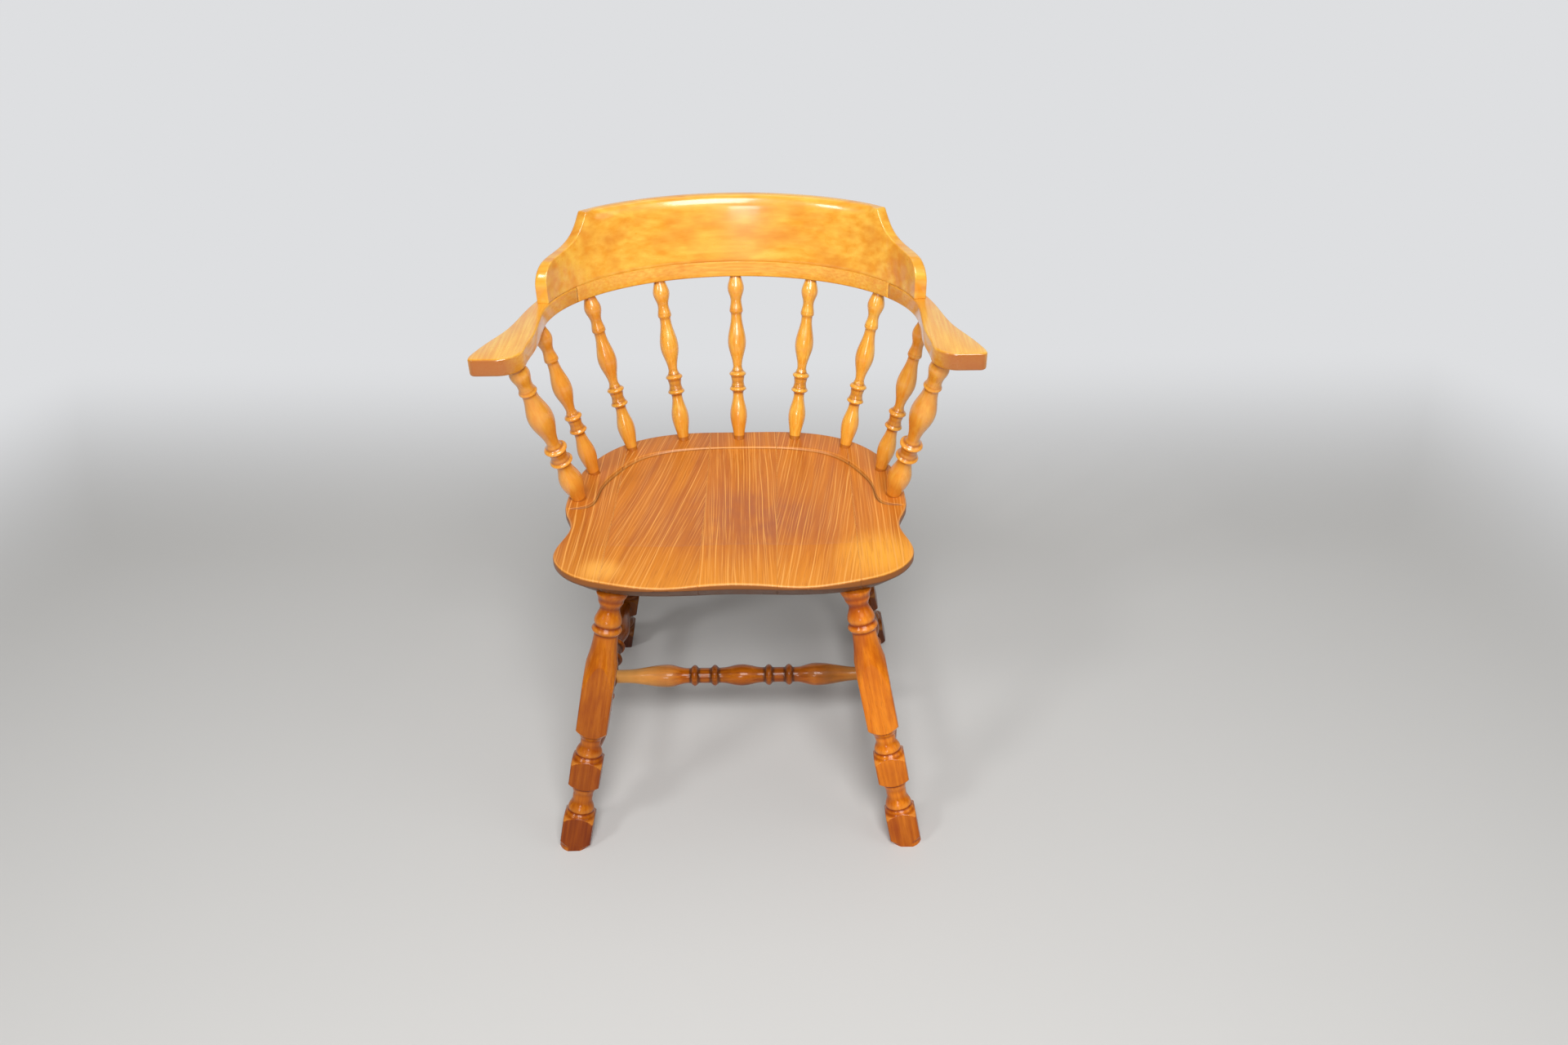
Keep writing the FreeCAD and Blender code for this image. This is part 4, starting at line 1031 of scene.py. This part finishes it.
def stretcher_profile(visible):
    """Half the outline from the middle out: swell, two rings and a vase; the other half mirrors it."""
    turned = settings().turned
    end, vase, ring, swell, neck = radii("stretcher_", ("end", "vase", "ring", "swell", "neck"))
    half = turned.ring_width / 2
    shapes = [(0.0, swell), (turned.inner_ring - 1.7 * half, neck)]
    for place in (turned.inner_ring, turned.outer_ring):
        shapes += [(place - 1.15 * half, neck), (place - 0.75 * half, 0.9 * ring), (place, ring),
                   (place + 0.75 * half, 0.9 * ring), (place + 1.15 * half, neck)]
    shapes += [(turned.outer_ring + 2.2 * half, neck), (turned.vase_place, vase),
               (visible / 2 - turned.leg_square / 2, end), (visible / 2, end)]
    outline = [(visible / 2 - place, radius) for place, radius in reversed(shapes)]
    outline += [(visible / 2 + place, radius) for place, radius in shapes[1:]]
    return soften(swept(outline))


class CHAIR_OT_stretchers(bpy.types.Operator):
    """Turns the two side stretchers and the cross stretcher"""
    bl_idname = "captains_chair.stretchers"
    bl_label = "Stretchers"

    def execute(self, context):
        turned = settings().turned
        seat_in_leg, seat_in_swell = 0.018, 0.011
        middles = {}
        rows = []
        for side, hand in ((-1, "left"), (1, "right")):
            ends = []
            for end in ("front", "rear"):
                foot, top = leg_line(side, end)
                ends.append(foot.lerp(top, turned.stretcher_height / top.z))
            step = (ends[1] - ends[0]).normalized() * (turned.leg_square / 2 - seat_in_leg)
            low, high = ends[0] + step, ends[1] - step
            rows.append((f"side_stretcher_{hand}", low, high))
            middles[side] = (low + high) / 2
        inset = Vector((turned.stretcher_swell / 2 - seat_in_swell, 0, 0))
        rows.append(("cross_stretcher", middles[-1] + inset, middles[1] - inset))
        for index, (label, low, high) in enumerate(rows):
            whole = (high - low).length
            tints = [(-0.05, whole + 0.05, 0.45)]
            if label == "cross_stretcher":
                # Paler step by step towards both ends, and darker in the middle and on the rings
                tints = [(-0.05, reach, -0.2) for reach in (0.04, 0.06, 0.08, 0.10, 0.12)]
                tints += [(whole - reach, whole + 0.05, -0.12) for reach in (0.03, 0.05, 0.07, 0.09)]
                tints.append((whole / 2 - 0.09, whole / 2 + 0.09, 0.3))
                tints += [(whole / 2 + place - 0.009, whole / 2 + place + 0.009, 0.55)
                          for ring in (turned.inner_ring, turned.outer_ring) for place in (-ring, ring)]
            turned_piece(label, low, high, stretcher_profile(whole), 64,
                         stretcher_maple(), 70 + 5.1 * index, tints)
        return {"FINISHED"}


# Arm bow and crest rail


# Angle of the butt joints from straight back; only the line of a joint is longer than JOINT_LENGTH
ARM_JOINT = 60.0
JOINT_LENGTH = 0.018
# Shares of the way back from the paw and of the flare, and the angle at which the sweep ends
SWEEP = ((0.16, 0.93), (0.35, 0.72), (0.635, 0.36), (1.0, 0.11))
SWEEP_END = 66.0
# Angles of the crest rail's ends and of its upper corners, and how fast the front roll runs out
CREST_END_ANGLE = 80.0
CREST_CORNER_ANGLE = 48.8
ROLL_RUNOUT = 4.0
# The rail stops leaning outward between these angles, and thins between the next two
LEAN_FADE = (52.0, 77.0)
THINNING = (40.0, 58.0)
END_THICKNESS = 0.82
# Angles of the last two sections at each end, back from the end, and how far they shrink
END_EASE = ((0.0, 0.10), (0.12, 0.02))


def slab_piece(label, outline, low, high, rounding, material):
    """A flat piece cut to an outline, with its long edges eased above and below by two roundings.
    The outline's last point closes onto its first along a joint, which stays sharp."""
    body = bmesh.new()
    floor_ring = [body.verts.new((x, y, low)) for x, y in outline]
    face = body.faces.new(floor_ring)
    raised = bmesh.ops.extrude_face_region(body, geom=[face])
    moved = [item for item in raised["geom"] if isinstance(item, bmesh.types.BMVert)]
    bmesh.ops.translate(body, verts=moved, vec=(0, 0, high - low))
    for height, radius in ((low, rounding[0]), (high, rounding[1])):
        edges = [edge for edge in body.edges
                 if all(abs(vert.co.z - height) < 1e-6 for vert in edge.verts)
                 and edge.calc_length() < JOINT_LENGTH]
        bmesh.ops.bevel(body, geom=edges, offset=radius, segments=4, profile=0.5, affect="EDGES")
    finish_piece(label + "_shaped", body, label, material)


def bow_arc(offset, first, last, count):
    """Plan points of the bow's line, moved outward by offset, from one angle to another."""
    return [tuple(bow_point(first + (last - first) * i / count, offset))[:2] for i in range(count + 1)]


def arm_outline():
    """The right arm in plan: the bow's curve, a slow outward sweep and the rounded paw."""
    arm = settings().arm
    half = arm.width / 2
    front = -arm.paw_front + SHIFT
    way_back = arm.paw_front + arm.centre_back
    inner_side, outer_side = arm.half_width - half, arm.half_width + half
    corner_side, reach = inner_side + arm.paw_inner_stand, arm.paw_half_reach
    turn_in, turn_out = arm.paw_inner_radius, arm.paw_outer_radius
    diagonal = 1 - math.sqrt(0.5)
    inner_end, outer_end = tuple(bow_point(90, -half))[:2], tuple(bow_point(SWEEP_END, half))[:2]
    onward = bow_point(SWEEP_END - 1, half) - bow_point(SWEEP_END, half)
    inner_corner = (corner_side, front + turn_in)
    middle = (inner_side, front + way_back / 2)
    inner = cubic_through([inner_end, middle, inner_corner], 30, (0, -1), (0, -1))
    round_in = arc_through(inner_corner, (corner_side + turn_in * diagonal, front + turn_in * diagonal),
                           (corner_side + turn_in, front), 14)
    across = [(corner_side + turn_in + (reach - turn_out - corner_side - turn_in) * i / 6, front)
              for i in range(1, 6)]
    round_out = arc_through((reach - turn_out, front),
                            (reach - turn_out * diagonal, front + turn_out * diagonal),
                            (reach, front + turn_out), 10)
    flare = [(outer_side + (reach - outer_side) * share, front + way_back * way)
             for way, share in SWEEP]
    sweep = cubic_through([round_out[-1]] + flare + [outer_end], 70, (0, 1), tuple(onward)[:2])
    chain = bow_arc(-half, ARM_JOINT, 90, 24) + inner[1:] + round_in[1:] + across + round_out
    chain += sweep[1:] + bow_arc(half, SWEEP_END, ARM_JOINT, 6)[1:]
    return chain


class CHAIR_OT_arms(bpy.types.Operator):
    """Saws the arm bow: two arms with paws and the curved centre"""
    bl_idname = "captains_chair.arms"
    bl_label = "Arm bow"

    def execute(self, context):
        arm = settings().arm
        half = arm.width / 2
        low, high = arm.height - arm.thickness, arm.height
        shades = clear_maple()
        right = arm_outline()
        left = [(-x, y) for x, y in reversed(right)]
        for label, outline, offset in (("arm_right", right, 90.0), ("arm_left", left, 97.0)):
            material = lacquered_maple("lacquered_maple_" + label, shades, "Y", offset, end_grain=True)
            slab_piece(label, outline, low, high, (arm.edge_round, arm.edge_round), material)
        centre = bow_arc(-half, -ARM_JOINT, ARM_JOINT, 96) + bow_arc(half, ARM_JOINT, -ARM_JOINT, 96)
        material = lacquered_maple("lacquered_maple_bow", shades, "X", 104.0)
        slab_piece("bow_centre", centre, low, high, (arm.edge_round, arm.joint_ease), material)
        return {"FINISHED"}


def crest_height(angle):
    """Height of the crest rail over the bow at an angle: level, ogee shoulder, shelf, end."""
    arm = settings().arm
    end, corner = bow_point(CREST_END_ANGLE), bow_point(CREST_CORNER_ANGLE)
    chord = (corner - end).length
    run = (bow_point(abs(angle)) - end).dot((corner - end).normalized())
    if abs(angle) <= CREST_CORNER_ANGLE or run >= chord:
        return arm.crest_height
    shelf, start, top = arm.crest_shelf, arm.crest_shelf_start, arm.crest_height
    rise = arm.crest_end
    lower = arc_through((0, rise), (0.27 * start, rise + 0.68 * (shelf - rise)), (start, shelf), 24)
    upper = cubic_through([(start, shelf), (0.62 * chord, shelf + 0.10 * (top - shelf)),
                           (0.83 * chord, shelf + 0.38 * (top - shelf)), (chord, top)], 50, (1, 0.12))
    curve = lower + upper[1:]
    return float(np.interp(run, [p[0] for p in curve], [p[1] for p in curve]))


def passed(angle, bounds):
    """0 before the first angle, 1 after the second, and a smooth step between."""
    share = min(max((abs(angle) - bounds[0]) / (bounds[1] - bounds[0]), 0.0), 1.0)
    return share * share * (3 - 2 * share)


def crest_section(angle, height, shrink=0.0):
    """The rail's cross section at an angle: front face, rolled top, back face and flat bottom."""
    arm = settings().arm
    half = arm.width / 2
    lean = arm.crest_rake / arm.crest_height * (1 - passed(angle, LEAN_FADE))
    thick = arm.crest_thickness * (1 - (1 - END_THICKNESS) * passed(angle, THINNING))
    flat = min(max((CREST_CORNER_ANGLE - abs(angle)) / ROLL_RUNOUT, 0.0), 1.0)
    roll = arm.crest_shoulder_round + (arm.crest_front_round - arm.crest_shoulder_round) * flat
    fall = arm.crest_shoulder_round + (arm.crest_roll_depth - arm.crest_shoulder_round) * flat
    back_roll = arm.crest_back_round
    points = [(arm.joint_ease, 0.0), (0.0, arm.joint_ease)]
    points += [(0.0, height * share) for share in (0.05, 0.18, 0.3)]
    points += [(roll * (1 - math.cos(t)), height - fall * (1 - math.sin(t)))
               for t in np.linspace(0, math.pi / 2, 13)]
    points += [(thick - back_roll * (1 - math.sin(t)), height - back_roll * (1 - math.cos(t)))
               for t in np.linspace(0, math.pi / 2, 8)]
    points += [(thick, height * share) for share in (0.6, 0.3)]
    points.append((thick, 0.0))
    ring = []
    for across, up in points:
        across = thick / 2 + (across - thick / 2) * (1 - shrink)
        up = height / 2 + (up - height / 2) * (1 - shrink * thick / height)
        place = bow_point(angle, across - half + lean * up)
        ring.append((place.x, place.y, arm.height + up))
    return ring


class CHAIR_OT_crest(bpy.types.Operator):
    """Shapes the raked crest rail with its ogee shoulders"""
    bl_idname = "captains_chair.crest"
    bl_label = "Crest rail"

    def execute(self, context):
        # Sections at every quarter degree over the shoulders, and at every degree between them
        fine = [CREST_END_ANGLE - 0.25 * i for i in range(1, 126)]
        angles = sorted(set([-angle for angle in fine] + [float(i) for i in range(-48, 49)] + fine))
        ends = [(CREST_END_ANGLE - back, shrink) for back, shrink in END_EASE]
        rings = [crest_section(-angle, crest_height(angle), shrink) for angle, shrink in ends]
        rings += [crest_section(angle, crest_height(angle)) for angle in angles]
        rings += [crest_section(angle, crest_height(angle), shrink) for angle, shrink in ends[::-1]]
        body = ring_grid(rings)
        wood = clear_maple(streak_mm=11.0, mottle=0.6, flecks=0.05)
        material = lacquered_maple("lacquered_maple_crest", wood, "X", 120.0)
        finish_piece("crest_rail_shaped", body, "crest_rail", material)
        return {"FINISHED"}


class CHAIR_OT_dowels(bpy.types.Operator):
    """Gives the hidden dowels their bare beech"""
    bl_idname = "captains_chair.dowels"
    bl_label = "Hidden dowels"

    def execute(self, context):
        material, tree, shader, place = new_material("bare_beech_dowel")
        grain = stretched_noise(tree, place, 1.2, 30, "Z", 3.0, 2.0)
        shade = ramp(tree, grain, [(0.3, linear("B98E5E")), (0.7, linear("DDBB8C"))])
        wire(tree, shader, Base_Color=shade, Roughness=0.6)
        for name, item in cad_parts.items():
            if "dowel" in name:
                item.data.materials.clear()
                item.data.materials.append(material)
        return {"FINISHED"}


# Stage


# The camera, worked out from the photograph: place in metres, angles in degrees, size in pixels
CAMERA_PLACE = (0.0683, -1.4197, 1.3254)
CAMERA_YAW, CAMERA_PITCH, CAMERA_ROLL = 0.074, 33.58, 0.691
IMAGE_WIDTH, FOCAL_PIXELS = 1920, 1398.0
SENSOR_MM = 36.0
# The lamps: place, side in metres and power in watts; all look at LAMP_AIM
LAMPS = {"front_window": ((0.30, -2.1, 2.8), 1.5, 88.0), "side_window": ((2.3, -0.9, 2.1), 1.4, 7.0),
         "low_window": ((-0.35, -2.9, 1.25), 0.6, 13.0), "left_window": ((-2.0, -1.75, 2.5), 0.6, 20.0),
         "top_panel": ((0.1, 0.7, 3.0), 1.4, 8.0)}
LAMP_AIM = Vector((0, 0, 0.45))
ROOM_LIGHT, ROOM_WHITE = 0.11, (1.0, 0.99, 0.97, 1.0)
# The paper turns into the backdrop between these distances behind the chair, and around it at as
# many metres more as FADE_MARGIN says
FADE_START, FADE_END, FADE_MARGIN = 0.45, 1.4, 0.9


def paper_sweep(floor, backdrop):
    """Matt studio paper: an even pale tone that turns into the plain backdrop around the chair."""
    material, tree, shader, place = new_material("matt_studio_paper")
    wire(tree, shader, Base_Color=(*floor, 1.0), Roughness=0.9, Specular_IOR_Level=0.2)
    around = reckoned(tree, "SUBTRACT", distance(tree, place), FADE_MARGIN)
    far = reckoned(tree, "MAXIMUM", part(tree, place, "Y"), around)
    behind = span(tree, far, FADE_START, FADE_END, kind="SMOOTHSTEP")
    path = add(tree, "LightPath").outputs
    seen = reckoned(tree, "MAXIMUM", path["Is Camera Ray"], path["Is Glossy Ray"])
    glow = add(tree, "Emission", Color=(*backdrop, 1.0), Strength=1.0).outputs[0]
    both = add(tree, "MixShader", _0=reckoned(tree, "MULTIPLY", behind, seen), _1=shader.outputs[0],
               _2=glow).outputs[0]
    tree.links.new(both, tree.nodes["Material Output"].inputs["Surface"])
    return material


def paper_floor(material):
    """A level sheet that bends up behind the chair."""
    radius, depth, width, wall, front = 0.6, 3.2, 7.0, 4.0, -3.5
    section = [(front, 0.0), (depth - radius, 0.0)]
    section += [(depth - radius + radius * math.sin(t), radius * (1 - math.cos(t)))
                for t in np.linspace(0, math.pi / 2, 16)[1:]]
    section.append((depth, wall))
    body = bmesh.new()
    rows = [[body.verts.new((x, y, z)) for y, z in section] for x in (-width, width)]
    for i in range(len(section) - 1):
        body.faces.new((rows[0][i], rows[1][i], rows[1][i + 1], rows[0][i + 1]))
    mesh = bpy.data.meshes.new("studio_floor")
    body.to_mesh(mesh)
    body.free()
    mesh.polygons.foreach_set("use_smooth", [True] * len(mesh.polygons))
    mesh.materials.append(material)
    return bpy.data.objects.new("studio_floor", mesh)


def pale_room(backdrop):
    """A soft room that lights the chair evenly, and that the camera sees as the backdrop."""
    world = bpy.data.worlds.new("soft_room")
    world.use_nodes = True
    tree = world.node_tree
    lit = tree.nodes["Background"]
    wire(tree, lit, Color=ROOM_WHITE, Strength=ROOM_LIGHT)
    seen = add(tree, "Background", Color=(*backdrop, 1.0), Strength=1.0)
    # The camera alone sees the pale room: nothing on the chair is metal or glass
    both = add(tree, "MixShader", _0=add(tree, "LightPath").outputs["Is Camera Ray"],
               _1=lit.outputs[0], _2=seen.outputs[0])
    tree.links.new(both.outputs[0], tree.nodes["World Output"].inputs["Surface"])
    return world


def photo_view():
    """A camera at the place, with the angles and the focal length worked out from the photograph."""
    view = bpy.data.cameras.new("photo_view")
    view.sensor_width = SENSOR_MM
    view.lens = SENSOR_MM * FOCAL_PIXELS / IMAGE_WIDTH
    camera = bpy.data.objects.new("photo_view", view)
    yaw, pitch, roll = (math.radians(angle) for angle in (CAMERA_YAW, CAMERA_PITCH, CAMERA_ROLL))
    level = math.cos(pitch)
    forward = Vector((math.sin(yaw) * level, math.cos(yaw) * level, -math.sin(pitch)))
    right = Vector((math.cos(yaw), -math.sin(yaw), 0))
    down = forward.cross(right)
    right, down = (math.cos(roll) * right + math.sin(roll) * down,
                   -math.sin(roll) * right + math.cos(roll) * down)
    turn = Matrix((right, -down, -forward)).transposed().to_4x4()
    camera.matrix_world = Matrix.Translation(CAMERA_PLACE) @ turn
    return camera


class CHAIR_OT_stage(bpy.types.Operator):
    """Sets the pale floor and backdrop, the soft lamps and the camera"""
    bl_idname = "captains_chair.stage"
    bl_label = "Stage"

    def execute(self, context):
        finish = settings().finish
        scene = bpy.context.scene
        floor = paper_floor(paper_sweep(finish.floor, finish.backdrop))
        scene.collection.objects.link(floor)
        scene.world = pale_room(finish.backdrop)
        for name, (place, size, power) in LAMPS.items():
            light = bpy.data.lights.new(name, "AREA")
            light.size = size
            light.energy = power
            lamp = bpy.data.objects.new(name, light)
            lamp.location = place
            lamp.rotation_euler = (LAMP_AIM - Vector(place)).to_track_quat("-Z", "Y").to_euler()
            scene.collection.objects.link(lamp)
        scene.camera = photo_view()
        scene.collection.objects.link(scene.camera)
        scene.view_settings.view_transform = "Standard"
        return {"FINISHED"}


class CHAIR_PT_panel(bpy.types.Panel):
    bl_label = "Captain's chair"
    bl_idname = "CHAIR_PT_panel"
    bl_space_type = "VIEW_3D"
    bl_region_type = "UI"
    bl_category = "Chair"

    def draw(self, context):
        for operator in OPERATORS:
            self.layout.operator(operator.bl_idname)


GROUPS = (ChairSeatSizes, ChairArmSizes, ChairTurningSizes, ChairFinish, ChairSettings)
OPERATORS = (CHAIR_OT_stage, CHAIR_OT_seat, CHAIR_OT_spindles, CHAIR_OT_legs, CHAIR_OT_stretchers,
             CHAIR_OT_arms, CHAIR_OT_crest, CHAIR_OT_dowels)


def register():
    for item in GROUPS + OPERATORS + (CHAIR_PT_panel,):
        bpy.utils.register_class(item)
    bpy.types.Scene.captains_chair = bpy.props.PointerProperty(type=ChairSettings)


def unregister():
    del bpy.types.Scene.captains_chair
    for item in reversed(GROUPS + OPERATORS + (CHAIR_PT_panel,)):
        bpy.utils.unregister_class(item)


def main():
    register()
    bpy.ops.captains_chair.stage()
    bpy.ops.captains_chair.seat()
    bpy.ops.captains_chair.spindles()
    bpy.ops.captains_chair.legs()
    bpy.ops.captains_chair.stretchers()
    bpy.ops.captains_chair.arms()
    bpy.ops.captains_chair.crest()
    bpy.ops.captains_chair.dowels()


if __name__ == "__main__":
    main()
